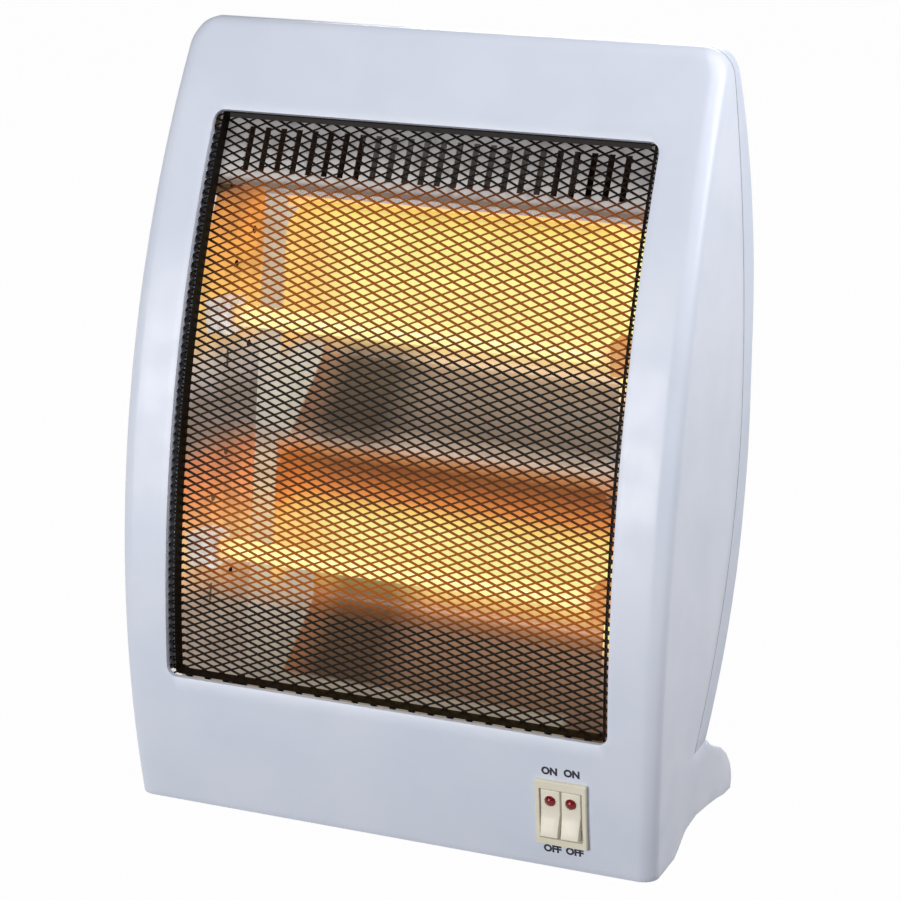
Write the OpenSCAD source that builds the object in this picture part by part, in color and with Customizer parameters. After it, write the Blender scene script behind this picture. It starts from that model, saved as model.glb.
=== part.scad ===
// Halogen heater: barrel-fronted plastic housing, two glowing tubes, folded sheet reflector, mesh guard,
// twin rocker switch and tip-over switch. Millimetres, +Z up, the front looks along -Y.

/* [Housing] */
// Overall width at the widest height
body_w = 278; // [268:1:290]
// Overall height
body_h = 375; // [368:1:390]
// Depth from the most forward line of the front to the flat of the back
body_d = 133.2; // [130:0.2:140]
// Wall of the front housing
wall = 2.5; // [2:0.1:3]
// Wall of the rear cover
cover_wall = 2.2; // [1.8:0.1:2.6]
// Radius of the front arc, seen from the side
front_r = 534.3; // [520:0.1:560]
// Height of the most forward line of the front
front_z = 84.4; // [78:0.1:90]
// Radius of the barrel-shaped sides, seen from the front
side_r = 4400; // [3500:50:6000]
// Height at which the body is widest
side_z = 188; // [180:1:196]
// Rounding between the front and the sides
edge_r = 8; // [6:0.5:10]
// Rounding of the upper corners, seen from the front
corner_r = 13; // [10:0.5:16]
// Rounding of the upper front edge
brow_r = 4; // [3:0.5:5]
// Rounding between the back and the sides
back_edge_r = 10; // [7:0.5:12]

/* [Back and parting line] */
// Depth of the parting line where it reaches furthest back
part_d = 111; // [108:0.5:114]
// Height of that point
part_z = 212; // [205:1:220]
// Radius of the parting line above that point
part_r_up = 685; // [660:5:720]
// Radius of the parting line below that point
part_r_low = 290; // [280:5:310]
// Seam between housing and rear cover
seam = 0.4; // [0.3:0.1:0.6]
// Lower end of the flat of the back
back_z0 = 200; // [195:1:205]
// Upper end of the flat of the back
back_z1 = 235; // [230:1:240]
// Radius of the back below its flat
back_r_low = 250; // [240:5:270]
// Radius of the back above its flat
back_r_up = 300; // [290:5:330]

/* [Feet] */
// Width of each runner foot
foot_w = 20; // [16:0.5:24]
// Height of the runner where the rear cover ends on it
foot_h = 45; // [42:0.5:47]
// How far back the heel reaches
heel_d = 128; // [122:0.5:129.5]
// Height of the hollow under the sole
arch_h = 9; // [7:0.5:10]

/* [Window and mesh guard] */
// Width of the window at half height
win_w = 225; // [219:1:229]
// Height of the lower edge of the window
win_z = 67.9; // [65:0.1:71]
// Height of the window
win_h = 267.4; // [260:0.1:270]
// Share by which the window narrows from bottom to top
win_taper = 0.0145; // [0:0.0005:0.02]
// Corner radius of the window
win_r = 5; // [3:0.5:7]
// Thickness of the expanded metal
mesh_t = 0.8; // [0.6:0.1:1]
// Depth of the mesh behind the front surface
mesh_recess = 6; // [5.5:0.1:6.5]
// Width of the slanting rim of the mesh
mesh_rim = 6; // [5:0.5:7]
// Width of the strands
strand = 1.3; // [1.1:0.1:1.8]
// Diamonds across the window
mesh_nx = 7; // [5:1:8]
// Rows of diamonds up the window
mesh_nz = 20; // [14:1:21]
// Width of the border that lies behind the housing wall
mesh_border = 6.5; // [5:0.5:7]

/* [Reflector] */
// Sheet thickness of the metal parts
sheet = 0.7; // [0.5:0.1:0.9]
// Depth of the reflector plane at its middle web
pan_d = 73.2; // [72:0.2:75]
// Height of the middle web
web_z = 171; // [169:0.5:173]
// Backward lean of the reflector plane
lean = 7.97; // [7:0.01:8.5]
// Half width of the reflector
refl_half = 100; // [98:0.5:101]
// Width of the strip beside the pans
strip_w = 11.5; // [10:0.5:13]
// Corner radius of the pans
pan_r = 18; // [14:0.5:20]
// Height of the web between the pans
web_h = 4; // [3:0.5:6]
// Opening height of the upper pan
pan_up = 115; // [112:0.5:117]
// Opening height of the lower pan
pan_low = 120; // [116:0.5:122]
// Depth of the upper pan
pan_up_d = 33.7; // [30:0.1:35]
// Depth of the lower pan
pan_low_d = 36.2; // [32:0.1:37]
// Splay of the end plates, per depth
splay = 0.25; // [0.22:0.01:0.27]
// Depth at which the end plates start behind the front surface
plate_d = 10; // [9:0.5:11]

/* [Slotted panel] */
// Depth of the fold at the foot of the slotted panel
fold_d = 56; // [54:0.5:58]
// Height of that fold
fold_z = 301; // [300:0.5:303]
// Backward lean of the slotted panel
panel_lean = 27.2; // [26:0.1:28]
// Length of the slotted face up its slope
panel_len = 59; // [57:0.5:61]
// Number of slots
slots = 24; // [16:1:25]
// Pitch of the slots
slot_pitch = 8.26; // [7.5:0.01:8.5]
// Width of a slot
slot_w = 3.2; // [2.5:0.1:4]
// Length of a slot
slot_len = 22; // [18:0.5:24]

/* [Tubes] */
// Depth and height of the upper tube
tube_up = [51, 238];
// Depth and height of the lower tube
tube_low = [29, 126.5];
// Outer diameter of the quartz tubes
tube_dia = 10; // [9:0.5:11]
// Wall of the quartz tubes
tube_wall = 1; // [0.8:0.1:1.3]
// Diameter of the wound filament
filament_dia = 3; // [2:0.5:4]
// Side of the square ceramic caps
cap_side = 16; // [15:0.5:18]
// Inner face of the caps, from the middle
cap_x = 96.5; // [95:0.5:98]

/* [Switch] */
// Sideways place of the switch
switch_x = 90.9; // [86:0.1:92]
// Height of the middle of the switch
switch_z = 29.5; // [28:0.1:31]
// Width of the switch plate
plate_w = 25.4; // [24.5:0.1:27]
// Height of the switch plate
plate_h = 34.1; // [33:0.1:36]
// Thickness of the switch plate
plate_t = 2; // [1.6:0.1:2.4]
// Width of one rocker
rocker_w = 9.4; // [9:0.1:9.8]
// Space beside and between the rockers
rocker_gap = 0.4; // [0.3:0.05:0.5]
// Radius of the round ends of a rocker about its pin
rocker_r = 12.75; // [12:0.05:13]
// Travel of a rocker
rocker_swing = 18; // [14:1:20]
// Diameter of the rocker pin
pin_dia = 2; // [1.6:0.1:2.4]
// Radial play of the rocker bores
pin_play = 0.05; // [0.03:0.01:0.08]
// Diameter of the indicator lens
lens_dia = 5; // [4:0.5:5.5]

/* [Fittings] */
// Distance of the screw posts from the sides
post_in = 13; // [12:0.5:14]
// Diameter of the screw posts
post_dia = 9; // [8:0.5:10]
// Diameter of the screw shanks
screw_dia = 3.4; // [3:0.1:3.8]
// Diameter of the screw heads
head_dia = 7; // [6:0.5:7.5]
// Half width of the handle pocket
grip_half = 50; // [46:1:54]
// Height of the lower edge of the handle pocket
grip_z = 297; // [296:0.5:299]
// Height of the handle pocket
grip_h = 34; // [30:1:36]
// Depth of the floor of the pocket from the front datum
grip_d = 96.5; // [96:0.5:99]
// Bore of the cord bushing
cord_bore = 7.2; // [6.5:0.1:8]
// Diameter of the tip switch plunger
plunger_dia = 6; // [5:0.5:7]
// Travel of the plunger
plunger_travel = 6; // [4:0.5:7]

/* [Hidden] */
$fn = 48;
arc_fn = 720;
gap = 0.3;
big = 400;
round_n = 5;
level_step = 16;
half = body_w/2;

// ---- Switch figures
pin_depth = 4;
face_recess = 0.3;
flat_h = pin_depth - face_recess;
flat_l = sqrt(rocker_r*rocker_r - flat_h*flat_h);
rocker_pitch = rocker_w + 2*rocker_gap;
slot_half = rocker_r + gap;
box_t = 1.2;
box_w = 2*rocker_w + 4*rocker_gap + 2*box_t;
box_h = 2*slot_half + 2*box_t;
box_d = 14;
switch_tilt = asin((front_z - switch_z)/front_r);
tip_in = -plate_t + pin_depth - flat_h*cos(rocker_swing) - flat_l*sin(rocker_swing);
tip_up = flat_h*sin(rocker_swing) - flat_l*cos(rocker_swing);
front_reach = (front_r - tip_in)*cos(switch_tilt) + tip_up*sin(switch_tilt) - front_r;
mid_d = (body_d - front_reach)/2;

// ---- Heights of the fixings
post_z = [62, 190, 348];
guard_z = [88, 212, 322];
plate_z = [108, 240, 288];
post_x = half - post_in;

// ---- Curves of the body; o is a distance inwards from the outer surface
function front_y(z, o = 0) = front_r - sqrt(pow(front_r - o, 2) - pow(z - front_z, 2));
function half_w(z, o = 0) = half - o - side_r + sqrt(side_r*side_r - pow(z - side_z, 2));
function part_y(z) = let (r = z < part_z ? part_r_low : part_r_up)
  part_d - r + sqrt(r*r - pow(z - part_z, 2));
function back_y(z, o = 0) =
  z < back_z0 ? body_d - back_r_low + sqrt(pow(back_r_low - o, 2) - pow(z - back_z0, 2)) :
  z > back_z1 ? body_d - back_r_up + sqrt(pow(back_r_up - o, 2) - pow(z - back_z1, 2)) :
  body_d - o;
function drop(z, top, r) = z <= top - r ? 0 : r - sqrt(max(0, r*r - pow(z - top + r, 2)));
function seam_y(z) = part_y(max(z, foot_h));

// ---- Levels of the lofts
function stairs(keys) = [for (i = [0:len(keys) - 2])
  let (n = ceil((keys[i + 1] - keys[i])/level_step))
  for (k = [0:n - 1]) keys[i] + (keys[i + 1] - keys[i])*k/n];
function levels(z0, o) = concat(
  stairs([z0, foot_h, front_z, side_z, back_z0, part_z, back_z1, body_h - corner_r]),
  [for (a = [0, 14, 28, 42, 54, 65, 77, 90]) body_h - o - (corner_r - o)*(1 - sin(a))]);

function front_ring(z, o, yb) = let (
    zz = max(z, 0),
    w = half_w(zz, o) - drop(z, body_h - o, corner_r - o),
    y0 = front_y(zz, o) + drop(z, body_h - o, brow_r - o),
    r = min(edge_r - o, 0.8*(yb - y0)))
  concat([[w, yb, z]],
    [for (i = [0:round_n]) [w - r + r*cos(90*i/round_n), y0 + r - r*sin(90*i/round_n), z]],
    [for (i = [round_n:-1:0]) [-w + r - r*cos(90*i/round_n), y0 + r - r*sin(90*i/round_n), z]],
    [[-w, yb, z]]);

// Closed solid through a stack of rings
module loft(rings) {
  n = len(rings[0]);
  m = len(rings);
  polyhedron(points = [for (r = rings) each r], faces = concat(
    [[for (i = [n - 1:-1:0]) i]],
    [[for (i = [0:n - 1]) (m - 1)*n + i]],
    [for (k = [0:m - 2], i = [0:n - 1], h = [0, 1])
      let (a = k*n + i, b = k*n + (i + 1) % n, c = b + n, d = a + n) h == 0 ? [a, b, c] : [a, c, d]]));
}

// ---- Polygon helpers
function unit(v) = v/norm(v);
function fillet(p, r, n = 4) = [for (i = [0:len(p) - 1]) let (
    c = p[i], a = unit(p[(i + len(p) - 1) % len(p)] - c), b = unit(p[(i + 1) % len(p)] - c),
    h = acos(a*b)/2, k = r/tan(h), m = c + unit(a + b)*r/sin(h),
    u = c + a*k - m, v = c + b*k - m, g = acos(max(-1, min(1, u*v/(r*r)))))
  for (j = [0:n]) m + (g < 1 ? u : u*sin(g*(1 - j/n))/sin(g) + v*sin(g*j/n)/sin(g))];
// Moves each edge of a counterclockwise polygon outwards by o
function grow(p, o) = [for (i = [0:len(p) - 1]) let (
    e = unit(p[i] - p[(i + len(p) - 1) % len(p)]), f = unit(p[(i + 1) % len(p)] - p[i]),
    n1 = [e[1], -e[0]], n2 = [f[1], -f[0]])
  p[i] + (n1 + n2)*o/(1 + n1*n2)];

module x_prism(x0, x1) translate([x0, 0, 0]) rotate([90, 0, 90]) linear_extrude(height = x1 - x0) children();
module y_prism(y0, y1) translate([0, y1, 0]) rotate([90, 0, 0]) linear_extrude(height = y1 - y0) children();
module x_rod(x0, x1, d) translate([x0, 0, 0]) rotate([0, 90, 0]) cylinder(h = x1 - x0, d = d);
module y_rod(y0, y1, d) translate([0, y0, 0]) rotate([-90, 0, 0]) cylinder(h = y1 - y0, d = d);
module both() { children(); mirror([1, 0, 0]) children(); }
module box(a, b) translate(a) cube(b - a);
// One side of a folded sheet, at a distance o from its middle line, with mitred folds
function fold_side(p, o) = [for (i = [0:len(p) - 1]) let (
    e = i > 0 ? unit(p[i] - p[i - 1]) : unit(p[1] - p[0]),
    f = i < len(p) - 1 ? unit(p[i + 1] - p[i]) : e,
    n1 = [e[1], -e[0]], n2 = [f[1], -f[0]])
  p[i] + (n1 + n2)*o/(1 + n1*n2)];
module strip(pts, t) {
  back = fold_side(pts, -t/2);
  polygon(concat(fold_side(pts, t/2), [for (i = [len(back) - 1:-1:0]) back[i]]));
}
module rounded_rect(x0, z0, x1, z1, r) {
  translate([x0 + r, z0]) square([x1 - x0 - 2*r, z1 - z0]);
  translate([x0, z0 + r]) square([x1 - x0, z1 - z0 - 2*r]);
  for (x = [x0 + r, x1 - r], z = [z0 + r, z1 - r]) translate([x, z]) circle(r = r);
}
// Shell between two depths behind the front surface
module front_band(x0, x1, z0, z1, d0, d1) intersection() {
  x_prism(x0, x1) translate([front_r, front_z]) difference() {
    circle(r = front_r - d0, $fn = arc_fn);
    circle(r = front_r - d1, $fn = arc_fn);
  }
  box([x0 - 1, -5, z0], [x1 + 1, body_d, z1]);
}
// Local frame on the front surface: +Y runs inwards, +Z up along the surface
module at_front(x, z, d = 0) translate([x, front_r, front_z])
  rotate([asin((front_z - z)/(front_r - d)), 0, 0]) translate([0, d - front_r, 0]) children();
// Local frame on the lower back: +Y runs outwards
module at_back(x, z) translate([x, body_d - back_r_low, back_z0])
  rotate([asin((z - back_z0)/back_r_low), 0, 0]) translate([0, back_r_low, 0]) children();
// Local frame of the reflector: +Y runs backwards, +Z up along its plane
module in_pan() translate([0, pan_d, web_z]) rotate([-lean, 0, 0]) children();
// Local frame of the right end plate: its plane is x = 0, +X points outwards
module in_wing() in_pan() translate([refl_half, 0, 0]) rotate([0, 0, atan(splay)]) children();
module in_panel() translate([0, fold_d, fold_z]) rotate([-panel_lean, 0, 0]) children();

// ---- Housing
function win_half(z) = win_w/2*(1 - win_taper*(z - win_z - win_h/2)/(win_h/2)/2);
module window_outline(o = 0) {
  z0 = win_z - o;
  z1 = win_z + win_h + o;
  w0 = win_half(z0) + o;
  w1 = win_half(z1) + o;
  polygon(fillet([[-w0, z0], [w0, z0], [w1, z1], [-w1, z1]], win_r + o, 6));
}
module front_outer() loft([for (z = levels(0, 0)) front_ring(z, 0, seam_y(z))]);
module front_inner() loft([for (z = levels(-wall, wall)) front_ring(z, wall, seam_y(z) + 12)]);

foot_in = half_w(0) - foot_w;
sole = [[38, 0], [52, arch_h - 1.6], [67, arch_h], [89, arch_h*2/3], [106, arch_h/3], [118, 0]];
heel = [[79.6, foot_h], [84.5, 40], [108, 28.7], [123, 16], [heel_d, 5], [heel_d, 0]];
function foot_side(y0, y1) = concat([[y0, 0], [y1, foot_h]], heel);
module side_plane(o) intersection() {
  children();
  translate([half_w(0, o), 0, 0]) rotate([0, atan((half_w(foot_h) - half_w(0))/foot_h), 0])
    box([-60, -20, -20], [0, body_d + 20, foot_h + 20]);
}
module runner() difference() {
  union() {
    side_plane(0.08) x_prism(foot_in, half) polygon(foot_side(edge_r + 4, edge_r + 3));
    x_prism(foot_in, half_w(0) - edge_r) polygon(foot_side(front_y(0, wall/2), front_y(foot_h, wall/2)));
  }
  side_plane(wall) x_prism(foot_in + wall, half) polygon(concat(
    [[front_y(0, wall) + wall, -1], [front_y(foot_h, wall) + wall, foot_h - wall]],
    [[heel[0][0] - 1, foot_h - wall], [heel[1][0] - 1.5, heel[1][1] - wall]],
    [[heel[2][0] - 1.5, heel[2][1] - wall], [heel[3][0] - 2.5, heel[3][1] - 1.5]],
    [[heel_d - wall, 3], [heel_d - wall, -1]]));
}
module posts() intersection() {
  for (z = post_z) translate([post_x, 0, z]) y_rod(front_y(z) - 3, part_y(z) - 1, post_dia);
  x_prism(post_x - 10, post_x + 10) translate([front_r, front_z]) circle(r = front_r - wall/2, $fn = arc_fn);
}
module bosses(zs, d) for (z = zs) at_front(post_x - 2, z) y_rod(wall/2, d, 7);

module front_housing() color("gainsboro") difference() {
  union() {
    difference() { front_outer(); front_inner(); }
    both() {
      runner();
      posts();
      bosses(guard_z, mesh_d1);
      bosses(plate_z, plate_d);
      panel_boss();
      for (y = base_y) translate([foot_in, y, 0]) box([-8, -4, base_z1], [1, 4, base_z1 + 12]);
    }
  }
  y_prism(-20, body_d) window_outline();
  x_prism(-big, big) polygon(concat([[sole[0][0], -5]], sole, [[sole[5][0], -5]]));
  at_front(switch_x, switch_z) box([-box_w/2 - gap, -5, -box_h/2 - gap], [box_w/2 + gap, 12, box_h/2 + gap]);
  both() {
    for (z = post_z) translate([post_x, 0, z]) y_rod(part_y(z) - 15, body_d, screw_dia + 0.1);
    for (z = concat(guard_z, plate_z)) at_front(post_x - 2, z) y_rod(wall/2, 30, 2.6);
    in_panel() translate([panel_screw_x, 0, panel_screw_s]) y_rod(-6, 20, 2.6);
    for (y = base_y) translate([foot_in - 4, y, 0]) cylinder(h = base_z1 + 10, d = screw_dia + 0.1);
  }
}

// Posts for the slotted panel: from inside the front wall to the face of the panel
panel_screw_x = 80;
panel_screw_s = 52;
panel_post = [fold_d + panel_screw_s*sin(panel_lean), fold_z + panel_screw_s*cos(panel_lean)];
panel_reach = (panel_post[0] - front_y(panel_post[1], wall/2))*cos(panel_lean) - 1;
module panel_boss() in_panel() translate([panel_screw_x, 0, panel_screw_s]) y_rod(-panel_reach, -sheet/2, 7);

// ---- Rear cover
cover_z0 = 12.3;
vent_w = 3.2;
vent_h = 28;
vent_z = [100, 254];
vent_x = 9;
// Front view of the body: barrel sides and rounded upper corners
function side_pts(z0, o) = concat(
  [for (z = stairs([z0, side_z, body_h - corner_r])) [half_w(z, o), z]],
  [for (a = [0:15:90]) [half_w(body_h - corner_r, o) - (corner_r - o)*(1 - cos(a)),
    body_h - corner_r + (corner_r - o)*sin(a)]]);
module front_view(z0, o) {
  p = side_pts(z0, o);
  polygon(concat(p, [for (i = [len(p) - 1:-1:0]) [-p[i][0], p[i][1]]]));
}
// Plan of the back: flat, with rounded edges; its flat lies on x = r1
module back_plan(r0, r1, w, r) {
  translate([r0, -w]) square([r1 - r0 - r, 2*w]);
  translate([r0, -w + r]) square([r1 - r0, 2*w - 2*r]);
  for (y = [-w + r, w - r]) translate([r1 - r, y]) circle(r = r);
}
module back_arc(z, r, o, z0, z1) intersection() {
  translate([0, body_d - r, z]) rotate([0, 90, 0]) rotate_extrude($fn = arc_fn/2)
    back_plan(r - body_d + 5 - o, r - o, half - o, back_edge_r - o);
  box([-half, 0, z0], [half, body_d, z1]);
}
module back_solid(z0, o) intersection() {
  union() {
    back_arc(back_z0, back_r_low, o, z0, back_z0);
    back_arc(back_z1, back_r_up, o, back_z1, body_h);
    translate([0, 0, back_z0]) linear_extrude(height = back_z1 - back_z0) rotate(90)
      back_plan(5 - o, body_d - o, half - o, back_edge_r - o);
  }
  y_prism(0, body_d + 1) front_view(z0, o);
}
module back_shell() difference() {
  back_solid(cover_z0, 0);
  back_solid(cover_z0 - 5, cover_wall);
  // everything in front of the parting line
  x_prism(-big, big) polygon(concat([for (z = levels(cover_z0, 0)) if (z >= foot_h) [part_y(z) + seam, z]],
    [[part_y(body_h) + seam, body_h + 5], [-5, body_h + 5], [-5, foot_h]]));
  // rounded upper rear edge
  x_prism(-big, big) polygon([[back_y(body_h) - brow_r, body_h], [back_y(body_h) - 0.4*brow_r, body_h - 0.3*brow_r],
    [back_y(body_h - brow_r), body_h - brow_r], [body_d, body_h - brow_r], [body_d, body_h + 5],
    [back_y(body_h) - brow_r, body_h + 5]]);
  both() box([foot_in - gap, -5, -5], [big, body_d, foot_h + seam]);
}
module rear_cover() color("lightgray") difference() {
  union() {
    back_shell();
    // walls of the handle pocket
    x_prism(-grip_half - cover_wall, grip_half + cover_wall) polygon([
      [grip_d - cover_wall, grip_z - cover_wall],
      [back_y(grip_z - cover_wall, cover_wall/2), grip_z - cover_wall],
      [back_y(grip_z + grip_h + cover_wall, cover_wall/2), grip_z + grip_h + cover_wall],
      [grip_d - cover_wall, grip_z + grip_h + cover_wall]]);
    both() for (z = post_z) translate([post_x, 0, z])
      y_rod(part_y(z) - 1 + gap, back_y(z, cover_wall/2), post_dia + 2);
    at_back(-gland_x, gland_z) y_rod(-cover_wall - gland_pad, gland_pad, 19);
  }
  y_prism(grip_d, body_d + 10) rounded_rect(-grip_half, grip_z, grip_half, grip_z + grip_h, 6);
  both() for (z = post_z) translate([post_x, 0, z]) {
    y_rod(0, body_d, screw_dia + 0.6);
    y_rod(part_y(z) + 2.5, body_d + 5, head_dia + 1.2);
  }
  at_back(-gland_x, gland_z) y_rod(-20, 20, gland_neck + 2*gap);
  // vents
  for (i = [-9:9], z = vent_z) box([i*vent_x - vent_w/2, 80, z - vent_h/2],
    [i*vent_x + vent_w/2, body_d + 5, z + vent_h/2]);
}
gland_x = 118;
gland_z = 105;
gland_neck = 11.4;
gland_pad = 0.8;

module cord_gland() color("dimgray") at_back(-gland_x, gland_z) difference() {
  union() {
    y_rod(gland_pad, gland_pad + 2.8, 16);
    y_rod(-cover_wall - 9, 1, gland_neck);
    y_rod(-cover_wall - 5, -cover_wall - gland_pad, 16);
  }
  y_rod(-20, 20, cord_bore);
}

// ---- Base
base_z0 = 9.5;
base_z1 = 12;
base_y = [20, 36];
tip_x = 0;
tip_y = 34;
module base_plate() color("silver") difference() {
  box([-foot_in + gap, front_y(base_z0, wall) + gap, base_z0],
    [foot_in - gap, back_y(base_z1) - 1, base_z1]);
  both() for (y = base_y) translate([foot_in - 4, y, 0]) cylinder(h = 30, d = screw_dia + 0.6);
  translate([tip_x, tip_y, 0]) cylinder(h = 30, d = plunger_dia + 1);
}

// ---- Mesh guard
mesh_d0 = wall + gap;
mesh_d1 = mesh_d0 + mesh_t;
module mesh_plug(o) {
  w = win_w/2 - mesh_rim - o;
  deep = front_r - mesh_recess - mesh_t + o;
  run = mesh_recess + mesh_t - mesh_d0 + 4*o;
  zt = win_z + win_h - mesh_rim + 1 - o;
  zb = win_z + mesh_rim - 1 + o;
  yt = front_y(zt, mesh_recess + mesh_t);
  yb = front_y(zb, mesh_recess + mesh_t);
  intersection() {
    translate([0, front_r, front_z]) rotate([0, 90, 0]) rotate_extrude($fn = arc_fn)
      polygon([[deep, -w], [deep + run, -w - run*1.25], [deep + run, w + run*1.25], [deep, w]]);
    x_prism(-win_w, win_w) polygon([[yb - 60, zb - 60], [yb + 40, zb + 40], [yt + 60, zt], [yt - 60, zt + 20]]);
  }
}
module diamonds() {
  a = win_w/mesh_nx/2;
  b = win_h/mesh_nz/2;
  k = 1 - strand/2/(a*b/norm([a, b]));
  intersection() {
    for (i = [-mesh_nx:mesh_nx], j = [0:2*mesh_nz]) if ((i + j) % 2 == 0)
      translate([i*a, win_z + j*b]) polygon([[a*k, 0], [0, b*k], [-a*k, 0], [0, -b*k]]);
    window_outline();
  }
}
module grille() color("#202020") difference() {
  union() {
    difference() { mesh_plug(0); mesh_plug(mesh_t); }
    difference() {
      front_band(-win_w/2 - mesh_border, win_w/2 + mesh_border,
        win_z - mesh_border, win_z + win_h + mesh_border, mesh_d0, mesh_d1);
      mesh_plug(mesh_t);
    }
  }
  y_prism(-5, body_d) diamonds();
}

// ---- Reflector, in its own plane: [depth, height]
pan_up_z = [web_h/2 + 1.5, web_h/2 + 1.5 + pan_up];
pan_low_z = [web_h/2 - web_h + 1.5, web_h/2 - web_h + 1.5 - pan_low];
refl_s = [-130, 126];
function up_side() = [[-9, pan_up_z[0]], [0, pan_up_z[0]], [pan_up_d, pan_up_z[0] + 35.5],
  [pan_up_d*0.8, pan_up_z[1] - 29], [0, pan_up_z[1]], [-9, pan_up_z[1]]];
function low_side() = [[-9, pan_low_z[1]], [0, pan_low_z[1]], [pan_low_d, pan_low_z[1] + 34],
  [pan_low_d*0.8, pan_low_z[0] - 28.7], [0, pan_low_z[0]], [-9, pan_low_z[0]]];
module pan(side, z0, z1, o) intersection() {
  x_prism(-refl_half + strip_w - o, refl_half - strip_w + o) polygon(fillet_some(grow(side, o), 12 + o));
  y_prism(-8, 60) rounded_rect(-refl_half + strip_w - o, z0 - o, refl_half - strip_w + o, z1 + o, pan_r + o);
}
// Rounds only the two bends at the back of a pan
function fillet_some(p, r) = let (f = fillet(p, r, 5)) [for (i = [0:5])
  each (i == 2 || i == 3) ? [for (j = [0:5]) f[i*6 + j]] : [p[i]]];
module between_plates(o) in_pan() translate([0, 0, -250]) linear_extrude(height = 500)
  polygon([[-refl_half + o, 9], [refl_half - o, 9], [refl_half - o, 0],
    [refl_half - o + splay*100, -100], [-refl_half + o - splay*100, -100], [-refl_half + o, 0]]);
module reflector() color("goldenrod") {
  in_pan() difference() {
    union() {
      box([-refl_half + gap, 0, refl_s[0]], [refl_half - gap, sheet, refl_s[1]]);
      pan(up_side(), pan_up_z[0], pan_up_z[1], sheet);
      pan(low_side(), pan_low_z[1], pan_low_z[0], sheet);
    }
    pan(up_side(), pan_up_z[0], pan_up_z[1], 0);
    pan(low_side(), pan_low_z[1], pan_low_z[0], 0);
    box([-big, -20, -big], [big, 0, big]);
  }
  intersection() {
    x_prism(-big/2, big/2) strip([floor_end, [floor_front[0] + 6, floor_front[1] - 2.4],
      floor_front, floor_front + [0, 3]], sheet);
    between_plates(gap);
  }
}
floor_end = [pan_d + refl_s[0]*sin(lean) + sheet/2, web_z + refl_s[0]*cos(lean) + sheet/2];
floor_front = [11, 60];

// ---- End plates
wing_holes = [[81.5, 273.4], [67.3, 259], [72.9, 218], [52.5, 168], [41.5, 147], [50.6, 106.6]];
wing_slits = [[57.2, 214], [35.7, 100]];
wing_z0 = 50;
wing_z1 = 296;
module wing() color("lightsteelblue") difference() {
  union() {
    intersection() {
      in_wing() box([0, -80, -135], [sheet, 1.7, 135]);
      union() {
        translate([0, front_r, front_z]) x_rod(80, 140, 2*(front_r - plate_d), $fn = arc_fn);
      }
      box([0, 0, wing_z0], [big, big, wing_z1]);
    }
    // bright return edge along the front
    intersection() {
      front_band(100, post_x - 7, wing_z0, wing_z1, plate_d, plate_d + sheet);
      in_wing() box([0, -100, -140], [60, 40, 140]);
    }
    for (z = plate_z) at_front(0, z) box([post_x - 12, plate_d, -6], [post_x + 3, plate_d + sheet, 6]);
    // rear return behind the strip of the reflector
    in_pan() box([refl_half - 9, sheet + gap, -120], [refl_half + sheet/2, sheet + gap + sheet, 121]);
  }
  for (p = wing_holes) translate([80, p[0], p[1]]) x_rod(0, 60, 4);
  for (p = wing_slits) x_prism(80, 140) translate(p) rotate(-8) square([2.5, 9], center = true);
  for (p = [tube_up, tube_low]) translate([80, p[0], p[1]]) x_rod(0, 60, neck_dia + 0.8);
  for (z = plate_z) at_front(post_x - 2, z) y_rod(0, 30, 3.4);
}
module end_plate_right() wing();
module end_plate_left() mirror([1, 0, 0]) wing();

// ---- Slotted panel, in its own plane
shelf_end = [pan_d + (refl_s[1] + 1.5)*sin(lean) - gap - sheet, web_z + (refl_s[1] + 1.5)*cos(lean)];
module top_panel() color("darkgray") {
  in_panel() difference() {
    box([-win_w/2 - 0.5, -sheet/2, -sheet/4], [win_w/2 + 0.5, sheet/2, panel_len]);
    for (i = [0:slots - 1]) translate([(i - (slots - 1)/2)*slot_pitch, 0, 7])
      box([-slot_w/2, -2, 0], [slot_w/2, 2, slot_len]);
    both() translate([panel_screw_x, 0, panel_screw_s]) y_rod(-5, 5, 3.4);
  }
  x_prism(-refl_half + 1, refl_half - 1) strip([[fold_d, fold_z], shelf_end,
    shelf_end - 7*[sin(lean), cos(lean)]], sheet);
}

// ---- Tubes and caps
neck_dia = 10;
cap_d = 11.5;
tube_in = 5;
glass_half = cap_x + tube_in;
module at_tube(p) translate([0, p[0], p[1]]) children();
module glass(p) color("orange") at_tube(p) difference() {
  x_rod(-glass_half, glass_half, tube_dia);
  x_rod(-big, big, tube_dia - 2*tube_wall);
}
module filament(p) color("red") at_tube(p) {
  x_rod(-glass_half - 4, glass_half + 4, 1.2);
  x_rod(-glass_half + 8, glass_half - 8, filament_dia);
}
// Distance of the end plate from the middle, on the axis of a tube
function wing_x(p) = refl_half + sheet/2 + splay*(cos(lean)*(pan_d - p[0]) - sin(lean)*(web_z - p[1]));
module cap(p) color("ivory") difference() {
  union() {
    intersection() {
      at_tube(p) box([cap_x, -cap_side/2, -cap_side/2], [cap_x + 20, cap_side/2, cap_side/2]);
      in_wing() box([-60, -120, -200], [-gap, 60, 200]);
    }
    at_tube(p) x_rod(cap_x + 2, wing_x(p) + 8, neck_dia);
  }
  at_tube(p) {
    x_rod(cap_x - 1, cap_x + tube_in + 0.4, tube_dia + 0.4);
    x_rod(cap_x, cap_x + 40, 2);
  }
}
module cap_upper_right() cap(tube_up);
module cap_lower_right() cap(tube_low);
module cap_upper_left() mirror([1, 0, 0]) cap(tube_up);
module cap_lower_left() mirror([1, 0, 0]) cap(tube_low);
module quartz_tube_upper() glass(tube_up);
module quartz_tube_lower() glass(tube_low);
module filament_upper() filament(tube_up);
module filament_lower() filament(tube_low);

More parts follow.
